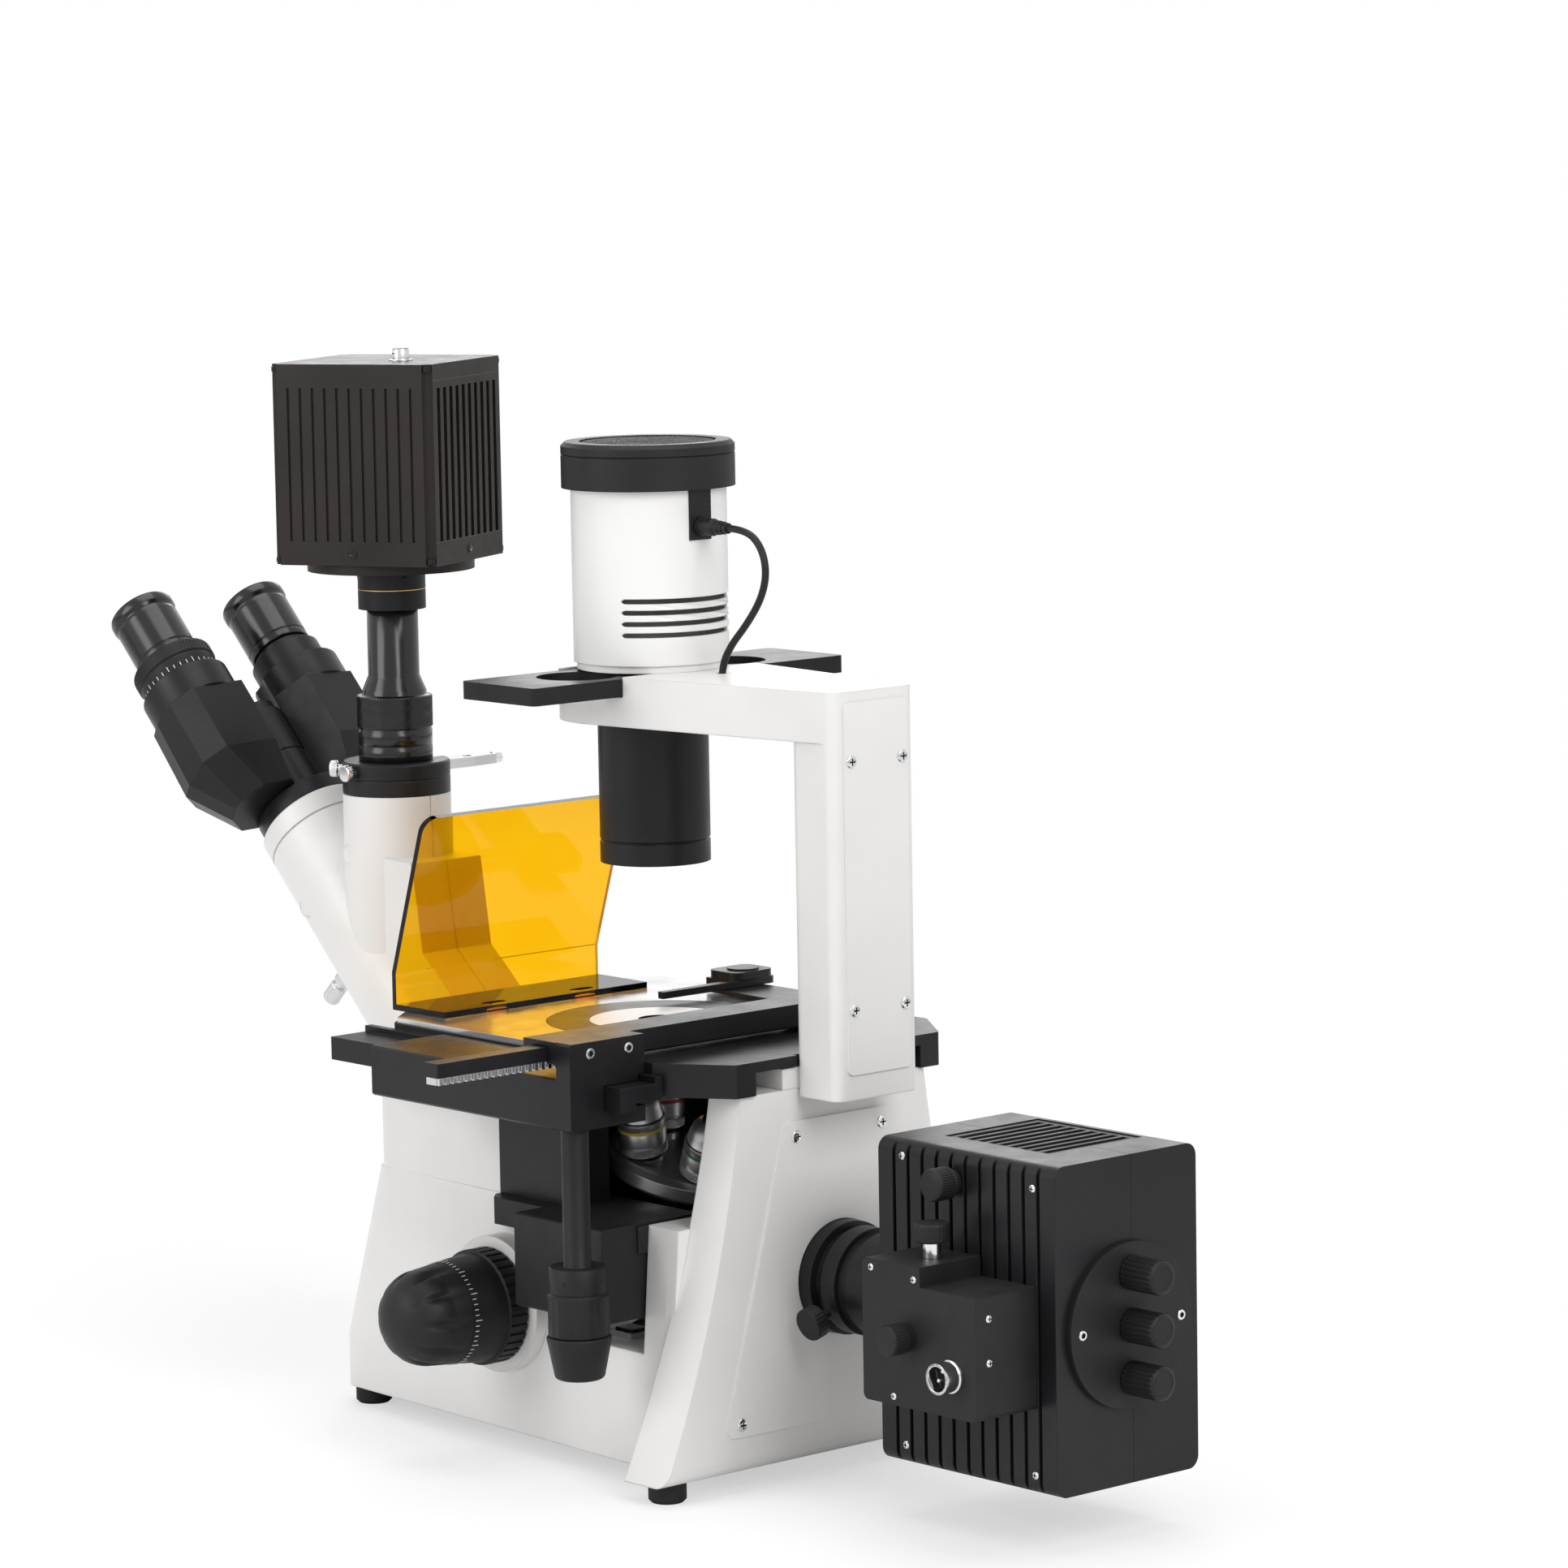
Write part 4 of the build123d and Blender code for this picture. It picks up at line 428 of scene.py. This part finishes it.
# The world is white wherever it is seen, also through glass and in gloss, but lights the part less
path = sky.nodes.new("ShaderNodeLightPath")
any_ray = path.outputs["Is Camera Ray"]
for kind in ("Is Transmission Ray", "Is Glossy Ray"):
    either = sky.nodes.new("ShaderNodeMath")
    either.operation = "MAXIMUM"
    sky.links.new(any_ray, either.inputs[0])
    sky.links.new(path.outputs[kind], either.inputs[1])
    any_ray = either.outputs[0]
choice = sky.nodes.new("ShaderNodeMixShader")
sky.links.new(any_ray, choice.inputs["Fac"])
sky.links.new(plain.outputs[0], choice.inputs[1])
sky.links.new(seen.outputs[0], choice.inputs[2])
sky.links.new(choice.outputs[0], sky.nodes["World Output"].inputs["Surface"])


def area_light(name, place, target, size, power):
    lamp = bpy.data.objects.new(name, bpy.data.lights.new(name, "AREA"))
    bpy.context.scene.collection.objects.link(lamp)
    lamp.data.shape = "RECTANGLE"
    lamp.data.size = size[0]
    lamp.data.size_y = size[1]
    lamp.data.energy = power
    aim = Vector(target) - Vector(place)
    lamp.matrix_world = Matrix.Translation(Vector(place)) @ aim.to_track_quat("-Z", "Y").to_matrix().to_4x4()


area_light("key", (0.4, 2.6, 1.9), (0, 0, 0.2), (1.6, 1.6), 46)
area_light("side", (2.4, -0.6, 1.3), (0, 0, 0.25), (1.4, 1.4), 26)
area_light("front", (-1.6, -2.0, 1.6), (0, 0, 0.25), (1.6, 1.4), 18)
area_light("top", (0.0, 0.1, 2.6), (0, 0, 0.2), (1.8, 1.8), 26)

floor_mesh = bpy.data.meshes.new("floor")
floor_mesh.from_pydata([(-30, -30, 0), (30, -30, 0), (30, 30, 0), (-30, 30, 0)], [], [(0, 1, 2, 3)])
floor = bpy.data.objects.new("floor", floor_mesh)
bpy.context.scene.collection.objects.link(floor)
floor_mat, tree, shader, vector = new_material("floor_paper")
grain = noise(tree, vector, 3.0, 3.0)
paper = ramp(tree, grain, [(0.0, (0.93, 0.93, 0.93)), (1.0, (0.95, 0.95, 0.95))])
tree.links.new(paper, shader.inputs["Base Color"])
shader.inputs["Roughness"].default_value = 0.9
shader.inputs["Specular IOR Level"].default_value = 0.1

# The paper fades to the white of the background, in m from the middle, for the camera only
glow = tree.nodes.new("ShaderNodeEmission")
glow.inputs["Strength"].default_value = 1.0
ray = tree.nodes.new("ShaderNodeLightPath")
share = tree.nodes.new("ShaderNodeMath")
share.operation = "MULTIPLY"
place = tree.nodes.new("ShaderNodeNewGeometry")
reach = tree.nodes.new("ShaderNodeVectorMath")
reach.operation = "LENGTH"
tree.links.new(place.outputs["Position"], reach.inputs[0])
fade = tree.nodes.new("ShaderNodeMapRange")
fade.inputs["From Min"].default_value = 0.35
fade.inputs["From Max"].default_value = 1.0
fade.inputs["To Min"].default_value = 0.55
fade.inputs["To Max"].default_value = 1.0
tree.links.new(reach.outputs["Value"], fade.inputs["Value"])
tree.links.new(fade.outputs["Result"], share.inputs[1])
tree.links.new(ray.outputs["Is Camera Ray"], share.inputs[0])
both = tree.nodes.new("ShaderNodeMixShader")
tree.links.new(share.outputs[0], both.inputs["Fac"])
tree.links.new(shader.outputs[0], both.inputs[1])
tree.links.new(glow.outputs[0], both.inputs[2])
tree.links.new(both.outputs[0], tree.nodes["Material Output"].inputs["Surface"])
floor_mesh.materials.append(floor_mat)

# Lead of the lamp
lead = bpy.data.curves.new("lamp_lead", "CURVE")
lead.dimensions = "3D"
lead.bevel_depth = 1.75 * MM
lead.bevel_resolution = 6
lead.resolution_u = 16
lead.use_fill_caps = True
spline = lead.splines.new("NURBS")
lead_points = [
    (0, 58, 444.3), (0, 71, 444.3), (0, 81.5, 436.5), (0, 84.8, 424.5), (0, 80.5, 412),
    (0, 70, 399.5), (0, 58, 388.5), (0, 51.5, 378.5), (0, 51, 369),
]
spline.points.add(len(lead_points) - 1)
for point, place in zip(spline.points, lead_points):
    point.co = (*at(*place), 1)
spline.order_u = 3
spline.use_endpoint_u = True
lead_object = bpy.data.objects.new("lamp_lead", lead)
bpy.context.scene.collection.objects.link(lead_object)
lead.materials.append(M["cable"])
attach(lead_object, "stand")
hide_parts("lamp_cord")

# Fasteners
screws("cover_screw_heads",
       [((x, 129.2, z), Y) for x, z in ((27, 165), (-27, 165), (64, 33.5), (-64, 33.5))]
       + [((x, 159.2, z), Y) for x in (-16, 16) for z in (226.5, 342.5)],
       "chrome", "stand", 3.0, 1.2)
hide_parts("cover_screws")
screws("bracket_screws", [((120, 91.5, 211.5), Y), ((97, 91.5, 211.5), Y)],
       "chrome", "stage_carriage", 2.6, 1.2, "socket")

# Objectives, on a turret that leans so that the one in use stands upright on the optical axis
lean = radians(15)
turret_offset = 27
turret_level = 140
objective_count = 5
turret_axis = Vector((0, sin(lean), cos(lean)))
turret_centre = Vector((0, turret_offset, turret_level))
apex = turret_centre - turret_axis * (turret_offset / sin(lean))
seat_distance = turret_offset / (sin(lean) * cos(lean))


def objective_direction(index):
    bearing = radians(360 / objective_count * index - 90)
    across = X * cos(bearing) + Vector((0, cos(lean), -sin(lean))) * sin(bearing)
    return turret_axis * cos(lean) + across * sin(lean)


barrel_finishes = ("satin", "black", "lens_coat", "red", "yellow", "green", "blue", "mark")
first_ring = barrel_finishes.index("red")
bm = bmesh.new()
for index in range(objective_count):
    along = objective_direction(index)
    start = apex + along * seat_distance
    ring = first_ring + index
    profile = [(8.9, -5, 0), (8.9, 0.4, 0), (9.4, 0.4, 0), (9.6, 1.0, 1), (9.6, 2.6, 1), (10.4, 3.0, 0),
               (11.7, 3.6, 0)]
    profile += [(11.75, h, 0) for h in levels(4, 8, 0.7)]
    profile += [(11.3, 8.4, 0), (11.3, 9.0, 0), (11.75, 9.4, 0), (11.75, 15.6, 0), (11.65, 15.8, ring),
                (11.65, 17.2, ring), (11.75, 17.4, 0), (11.75, 20.6, 0), (11.3, 21.0, 1), (11.3, 21.4, 1),
                (11.0, 21.8, 0), (10.4, 26, 0), (9.6, 29, 0), (8.0, 31.4, 0), (6.4, 33.0, 0), (5.6, 33.4, 1),
                (5.4, 34.8, 1), (4.4, 35.0, 1), (3.6, 34.4, 2), (0, 34.7, 2)]
    add_lathe(bm, start, along, profile, 144, between(4.2, 7.9, ribs(72, 0.35, 2)))
barrels = finish_object("objective_barrels", to_mesh(bm, "objective_barrels"), barrel_finishes, "turret")
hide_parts("objectives")

# Focus knobs: a domed fine knob on each side, and the scale on the coarse knob's cone
start = 118.3
rim_radius, rim_height = 23.5, 9.2
dome_steps = 22
dome = [(2.9, start - 1), (24.5, start), (24.3, start + 1.2), (23.7, start + 8.6),
        (rim_radius, start + rim_height)]
for step in range(1, dome_steps):
    a = radians(90 * step / dome_steps)
    dome.append((rim_radius * cos(a) ** 0.78, start + rim_height + 21.6 * sin(a)))
dome.append((0, start + 31))
bm = bmesh.new()
for side in (-1, 1):
    add_lathe(bm, KNOB, X * side, dome, 160, dimples(10, start + 15, 7.5, 2.3))
fine = finish_object("fine_focus_domes", to_mesh(bm, "fine_focus_domes"), "plastic", "fine", 40)
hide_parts("fine_knobs")

bm = bmesh.new()
mark_count = 60
for side in (-1, 1):
    along = X * side
    for k in range(mark_count):
        a = 2 * pi * k / mark_count
        out = Y * cos(a) + Z * sin(a)
        length = 3.4 if k % 5 == 0 else 2.0
        slope_in = Vector(along * cos(radians(6)) - out * sin(radians(6)))
        centre = KNOB + along * (117.4 - length / 2) + out * (24.75 + (0.6 + length / 2) * 0.107)
        add_block(bm, centre, (slope_in, along.cross(out), out), (length, 0.34, 0.12), 0)
finish_object("focus_scale_marks", to_mesh(bm, "focus_scale_marks"), "mark", "coarse")

# Stage drive: two knobs on one hanging shaft
upper_knob = [(3.5, 184), (6.4, 184), (6.5, 183.5), (6.5, 111.6), (6.9, 111), (12.8, 111), (13.25, 110.4),
              (13.25, 99), (12.9, 98.7), (13.3, 98.2)]
upper_knob += [(14.2 + 0.9 * sin(pi * (98 - h) / 19.4) ** 0.6, h) for h in (97.4, 79.4)]
upper_knob += [(14.2, 78.8), (13.6, 78.6), (3.5, 78.6)]
upper = lathe("upper_drive_knob", DRIVE, Z, upper_knob[::-1], "plastic", "y_knob", 128,
              dimples(9, 86, 5.6, 1.9), 40)
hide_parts("y_drive_knob")
lower_knob = [(0, 184), (3.4, 184), (3.4, 78.3), (14.6, 78.3), (15.3, 77.6)]
lower_knob += [(15.3 - 3.6 * ((77 - h) / 18) ** 1.5, h) for h in (77, 59.2)]
lower_knob += [(11.0, 58.4), (10.2, 58), (0, 58)]
lower = lathe("lower_drive_knob", DRIVE, Z, lower_knob[::-1], "plastic", "x_knob", 128,
              dimples(9, 68.5, 5.4, 1.8), 40)
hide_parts("x_drive_knob")
collar_radius = 13.1
screws("drive_collar_screws",
       [((DRIVE.x + collar_radius * cos(a), DRIVE.y + collar_radius * sin(a), 105), X * cos(a) + Y * sin(a))
        for a in (radians(20), radians(110))], "black", "y_knob", 1.4, 0.3)

# Knobs of the lamphouse and the brightness dial
grip = [(0, 0), (2, 0), (2, 3.3), (7.4, 3.4), (7.9, 3.9)]
grip += [(8, h) for h in levels(4.4, 21.6, 1.2)]
grip += [(7.6, 22.4), (7.0, 23.0), (5.6, 23.2), (5.3, 22.9), (0, 22.9)]
# These pieces keep the names they were first exported with, which lack one letter
for level, body in ((124, "centring_top"), (100, "centring_middle"), (76, "centring_bottom")):
    knob = lathe("centring_knob_" + body[10:], (0, 320, level), Y, grip, "plastic", body, 120,
                 between(4.2, 21.7, ribs(20, 0.5, 4)), 45)
    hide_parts("adjuster_" + body[9:])

grip = [(0, 0.3), (6.0, 0.3), (6.2, 3.0), (7.2, 3.3), (7.5, 3.8)]
grip += [(7.5, h) for h in levels(4.2, 12.8, 1.0)]
grip += [(7.1, 13.6), (6.6, 14), (0, 14)]
collector = lathe("collector_grip", (44.5, 254.6, 162.5), X, grip, "plastic", "collector", 144,
                  between(4.0, 13, ribs(36, 0.35, 2)), 45)
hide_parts("collector_knob")

grip = [(0, 62), (3, 62), (3, 77.6), (12.2, 77.8), (12.9, 78.6)] + [(13, h) for h in levels(79, 88, 1.5)]
grip += [(12.4, 89.4), (11.6, 90), (0, 90)]
dial = lathe("brightness_grip", (0, -110, 60), -X, grip, "plastic", "dial", 144,
             between(78.8, 88.2, ribs(30, 0.4, 3)), 45)
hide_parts("brightness_dial")
bm = bmesh.new()
add_block(bm, Vector((-90.05, -110, 68)), (X, Y, Z), (0.25, 0.8, 7), 0.05)
finish_object("brightness_mark", to_mesh(bm, "brightness_mark"), "mark", "dial")

# Eyetubes
tube_spread, tube_rise = 36, 5
eye_right = FLANGE + X * tube_spread + EYE_UP * tube_rise
eye_left = FLANGE - X * tube_spread + EYE_UP * tube_rise
tube_end, ring_height, ring_gap = 89.7, 17, 0.3


def eyepiece_detail(name, centre, body, node):
    start = tube_end + ring_height + ring_gap
    profile = [(0, start - 14), (12.4, start - 14), (12.4, start), (15.8, start), (16.6, start + 0.5),
               (16.75, start + 1.2), (16.75, start + 3.6), (16.3, start + 4.1), (16.3, start + 4.7),
               (16.75, start + 5.2)]
    profile += [(16.75, h) for h in levels(start + 6, start + 27, 0.7)]
    profile += [(16.4, start + 28), (16.4, start + 29), (17.2, start + 30.2), (17.5, start + 31.2),
                (17.5, start + 34.6), (17.1, start + 35.6), (16.2, start + 36), (13.6, start + 36),
                (12.8, start + 35.2), (12.4, start + 33.2), (12.2, start + 33, 1), (8, start + 34.0, 1),
                (0, start + 34.4, 1)]
    piece = lathe(name, centre, EYE, profile, ("gloss", "lens_coat"), body, 96, None, 35)
    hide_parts(node)


eyepiece_detail("eyepiece_barrel_right", eye_right, "right_eyetube", "eyepiece_right")
eyepiece_detail("eyepiece_barrel_left", eye_left, "left_eyetube", "eyepiece_left")

ring = [(15.56, 90), (20.0, 90), (20.4, 90.5), (20.6, 91.4), (21.2, 97.4), (21.3, 98.2), (20.9, 98.6),
        (21.6, 99.0)]
ring += [(22, h) for h in levels(99.4, 105.4, 0.5)]
ring += [(21.6, 106.1), (20.8, 106.7), (15.56, 106.7)]
diopter = lathe("diopter_grip", eye_right, EYE, ring, "plastic", "diopter", 240,
                between(99.3, 105.6, diamond(60, 0.5, 2.4)), 60)
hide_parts("diopter_ring")
bm = bmesh.new()
mark_count = 36
for k in range(mark_count):
    a = 2 * pi * k / mark_count
    out = X * cos(a) + EYE_UP * sin(a)
    length = 4.2 if k % 4 == 0 else 2.6
    centre = eye_right + EYE * (91.8 + length / 2) + out * (20.65 + 0.1 * length / 2)
    add_block(bm, centre, (EYE, EYE.cross(out), out), (length, 0.4, 0.16), 0)
finish_object("diopter_marks", to_mesh(bm, "diopter_marks"), "mark", "diopter")

# Photo tube and camera
profile = [(9, 314), (18.2, 314), (18.75, 314.5), (18.75, 321.4), (18.4, 321.7), (18.4, 322.1),
           (18.75, 322.4), (18.75, 329.6), (18.3, 330), (18.3, 330.6), (19.0, 331)]
profile += [(19.2, h) for h in levels(331.4, 346.4, 0.6)]
profile += [(18.8, 347), (16.6, 347.3), (16.25, 347.8), (16.25, 349.4), (16, 350), (13.3, 356.4),
            (12.95, 357.2), (12.95, 390.8), (12.7, 391), (9, 391)]
tube = lathe("photo_tube_detail", PORT, Z, profile, "gloss", "stand", 288,
             between(331.2, 346.6, diamond(72, 0.45, 2.2)), 60)
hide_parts("photo_tube")
bm = bmesh.new()
add_lathe(bm, PORT, Z, [(16.9, 400.7), (17.16, 400.8), (17.16, 401.2), (16.9, 401.3)], 96, closed=True)
finish_object("mount_gold_line", to_mesh(bm, "mount_gold_line"), "gold", "stand")
mount_radius = 17
screws("mount_screws",
       [((mount_radius * cos(a), PORT.y + mount_radius * sin(a), 407), X * cos(a) + Y * sin(a))
        for a in (radians(75), radians(195), radians(315))], "black", "stand", 1.3, 0.3)

camera_turn = radians(26.8)
camera_half = 44
corner_half = 41.4
CX = X * cos(camera_turn) + Y * sin(camera_turn)
CY = -X * sin(camera_turn) + Y * cos(camera_turn)
bottom = PORT + Z * 416
camera_faces = ((CX, CY), (-CX, -CY), (CY, -CX), (-CY, CX))
bm = bmesh.new()
for index, (a, b) in enumerate(camera_faces):
    add_screw(bm, bottom + a * camera_half + Z * 6, a, 2.5, 0.5, "socket")
    if index > 1:
        continue
    for side in (-1, 1):
        for level in (2.6, 98):
            corner = bottom + a * corner_half + b * side * corner_half
            add_lathe(bm, corner + Z * (level - 1.2), Z, [(0, 0), (2.1, 0), (2.1, 2.4), (0, 2.4)], 20)
finish_object("camera_screws", to_mesh(bm, "camera_screws"), ("black", "chrome"), "stand")
bm = bmesh.new()
for a, b in camera_faces:
    for level in (12.0, 92.4):
        add_block(bm, bottom + a * (camera_half - 0.04) + Z * level, (b, Z, a), (80, 0.35, 0.12), 0)
finish_object("camera_plate_lines", to_mesh(bm, "camera_plate_lines"), "gloss", "stand")
socket_place = bottom + CX * 8 + CY * 12 + Z * 100.5
bm = bmesh.new()
profile = [(6.2, 0), (6.2, 0.6), (4.3, 0.8), (4.3, 5.2), (4.0, 5.8), (3.2, 6.0), (3.0, 5.0, 1), (0, 4.6, 1)]
add_lathe(bm, socket_place, Z, profile, 48)
for side in (1, -1):
    add_block(bm, socket_place + X * 4.4 * side + Z * 4, (X, Y, Z), (1.2, 1.2, 1.4), 0.2)
finish_object("camera_socket", to_mesh(bm, "camera_socket"), ("chrome", "black"), "stand")

# Head, port and neck fittings
bm = bmesh.new()
cap = [(5.2, 0), (5.2, 0.5), (4.9, 0.8), (4.6, 0.8), (4.4, 0.55), (0, 0.5)]
port_side = sqrt(27.35 ** 2 - (-209 - PORT.y) ** 2)
for place in ((port_side - 0.6, -209, 267), (27.9 - 0.6, -244, 237)):
    add_lathe(bm, Vector(place), X, cap, 48)
finish_object("head_plug_caps", to_mesh(bm, "head_plug_caps"), "ivory", "stand")


def knurled_screw(bm, origin, direction, stem, stem_length, head, head_length, second=None):
    """Plain stem and a knurled head, with a second head on a neck if (neck radius, length) is given."""
    profile = [(0, 0), (stem, 0), (stem, stem_length), (head - 0.5, stem_length + 0.2)]
    top = stem_length + head_length
    profile += [(head, h) for h in levels(stem_length + 0.7, top - 0.7, 0.7)]
    profile += [(head - 0.5, top - 0.1)]
    if second:
        neck, length = second
        profile += [(neck, top), (neck, top + 2.4), (head - 0.5, top + 2.6)]
        profile += [(head, h) for h in levels(top + 3.1, top + length - 0.7, 0.7)]
        top += length
        profile += [(head - 0.6, top)]
    profile += [(0, top + 0.2)]
    knurl = ribs(28, 0.3, 2)

    def on_head(turn, height, radius):
        return knurl(turn, height, radius) if abs(radius - head) < 0.01 else 0
    add_lathe(bm, Vector(origin), Vector(direction), profile, 96, on_head)


bm = bmesh.new()
for bearing in (0, -45):
    d = X * cos(radians(bearing)) + Y * sin(radians(bearing))
    knurled_screw(bm, PORT + Z * 309.5 + d * 26.8, d, 2, 2.6, 4.2, 4.4)
knurled_screw(bm, FLANGE - EYE * 72 - EYE_UP * 28.9, -EYE_UP, 3, 9, 4.6, 6, (3.4, 14.4))
bright_screws = finish_object("bright_thumbscrews", to_mesh(bm, "bright_thumbscrews"), "chrome", "stand", 40)
bm = bmesh.new()
knurled_screw(bm, (62, 259, 131), Z, 4, 7.2, 8, 8.8)
knurled_screw(bm, (82, 262, 98), X, 6.4, 2, 7, 10)
knurled_screw(bm, (25.0, 147, 83), (1, 0, -0.3), 2.5, 6.2, 8, 7.2)
dark_screws = finish_object("dark_thumbscrews", to_mesh(bm, "dark_thumbscrews"), "plastic", "stand", 40)
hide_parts("thumbscrews")
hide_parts("thumbscrews")
bm = bmesh.new()
add_lathe(bm, Vector((62, 259, 131)), Z, [(4.15, 0.1), (4.15, 7), (3.9, 7.1), (3.9, 0.1)], 40, closed=True)
finish_object("lamphouse_screw_stem", to_mesh(bm, "lamphouse_screw_stem"), "chrome", "stand")

# Lamp cap, condenser and lead relief
bm = bmesh.new()
mesh_pitch, mesh_radius = 2.3, 31.6
for k in range(-13, 14):
    offset = k * mesh_pitch
    half = sqrt(mesh_radius ** 2 - offset ** 2)
    add_block(bm, Vector((offset, 0, 483.0)), (Y, X, Z), (2 * half, 0.9, 0.5), 0)
    add_block(bm, Vector((0, offset, 483.3)), (X, Y, Z), (2 * half, 0.9, 0.5), 0)
finish_object("cap_mesh", to_mesh(bm, "cap_mesh"), "plastic", "stand")
bm = bmesh.new()
add_lathe(bm, Vector((0, 0, 0)), Z, [(21.5, 281.2), (21.5, 284), (18.8, 284), (18.8, 281.2)], 96, closed=True)
finish_object("condenser_lip", to_mesh(bm, "condenser_lip"), "black", "stand")
bm = bmesh.new()
for k in range(6):
    y = 38.5 + 3.0 * k
    radius = 4.7 - 0.32 * k
    rib = [(3.0, y), (radius, y + 0.3), (radius, y + 1.5), (3.0, y + 1.8)]
    add_lathe(bm, Vector((0, 0, 444.3)), Y, rib, 40, closed=True)
finish_object("lead_relief_ribs", to_mesh(bm, "lead_relief_ribs"), "cable", "stand")

# Lamphouse and socket box
bm = bmesh.new()
for y, z in ((221, 170), (306, 166), (221, 36), (306, 36)):
    add_screw(bm, (44.3, y, z), X, 1.9, 0.9)
for x in (-31, 31):
    add_screw(bm, (x, 322.9, 100), Y, 2.4, 0.9, "socket")
for y, z in ((240, 127), (268, 125), (254, 70)):
    add_screw(bm, (81.9, y, z), X, 1.7, 0.7)
for x, z in ((74, 112), (74, 92)):
    add_screw(bm, (x, 307.9, z), Y, 1.8, 0.8)
finish_object("lamphouse_screws", to_mesh(bm, "lamphouse_screws"), ("chrome", "black"), "stand", 35)
bm = bmesh.new()
centre = Vector((82, 292, 85))
sleeve = [(5.8, -3.9), (5.8, 8.4), (6.2, 9.0), (6.8, 9.0), (7.0, 8.4), (6.7, 1.8), (7.6, 1.4), (7.8, 0.1),
          (5.8, 0.1)]
add_lathe(bm, centre, X, sleeve, 64, closed=True)
add_lathe(bm, centre, X, [(5.85, 1.0, 1), (0, 1.0, 1)], 48)
for bearing in (90, 210, 330):
    pin = centre + Y * 3 * cos(radians(bearing)) + Z * 3 * sin(radians(bearing))
    add_lathe(bm, pin, X, [(1.1, 1), (1.1, 5), (0.8, 5.6), (0, 5.8)], 20)
finish_object("connector_detail", to_mesh(bm, "connector_detail"), ("chrome", "black"), "stand")
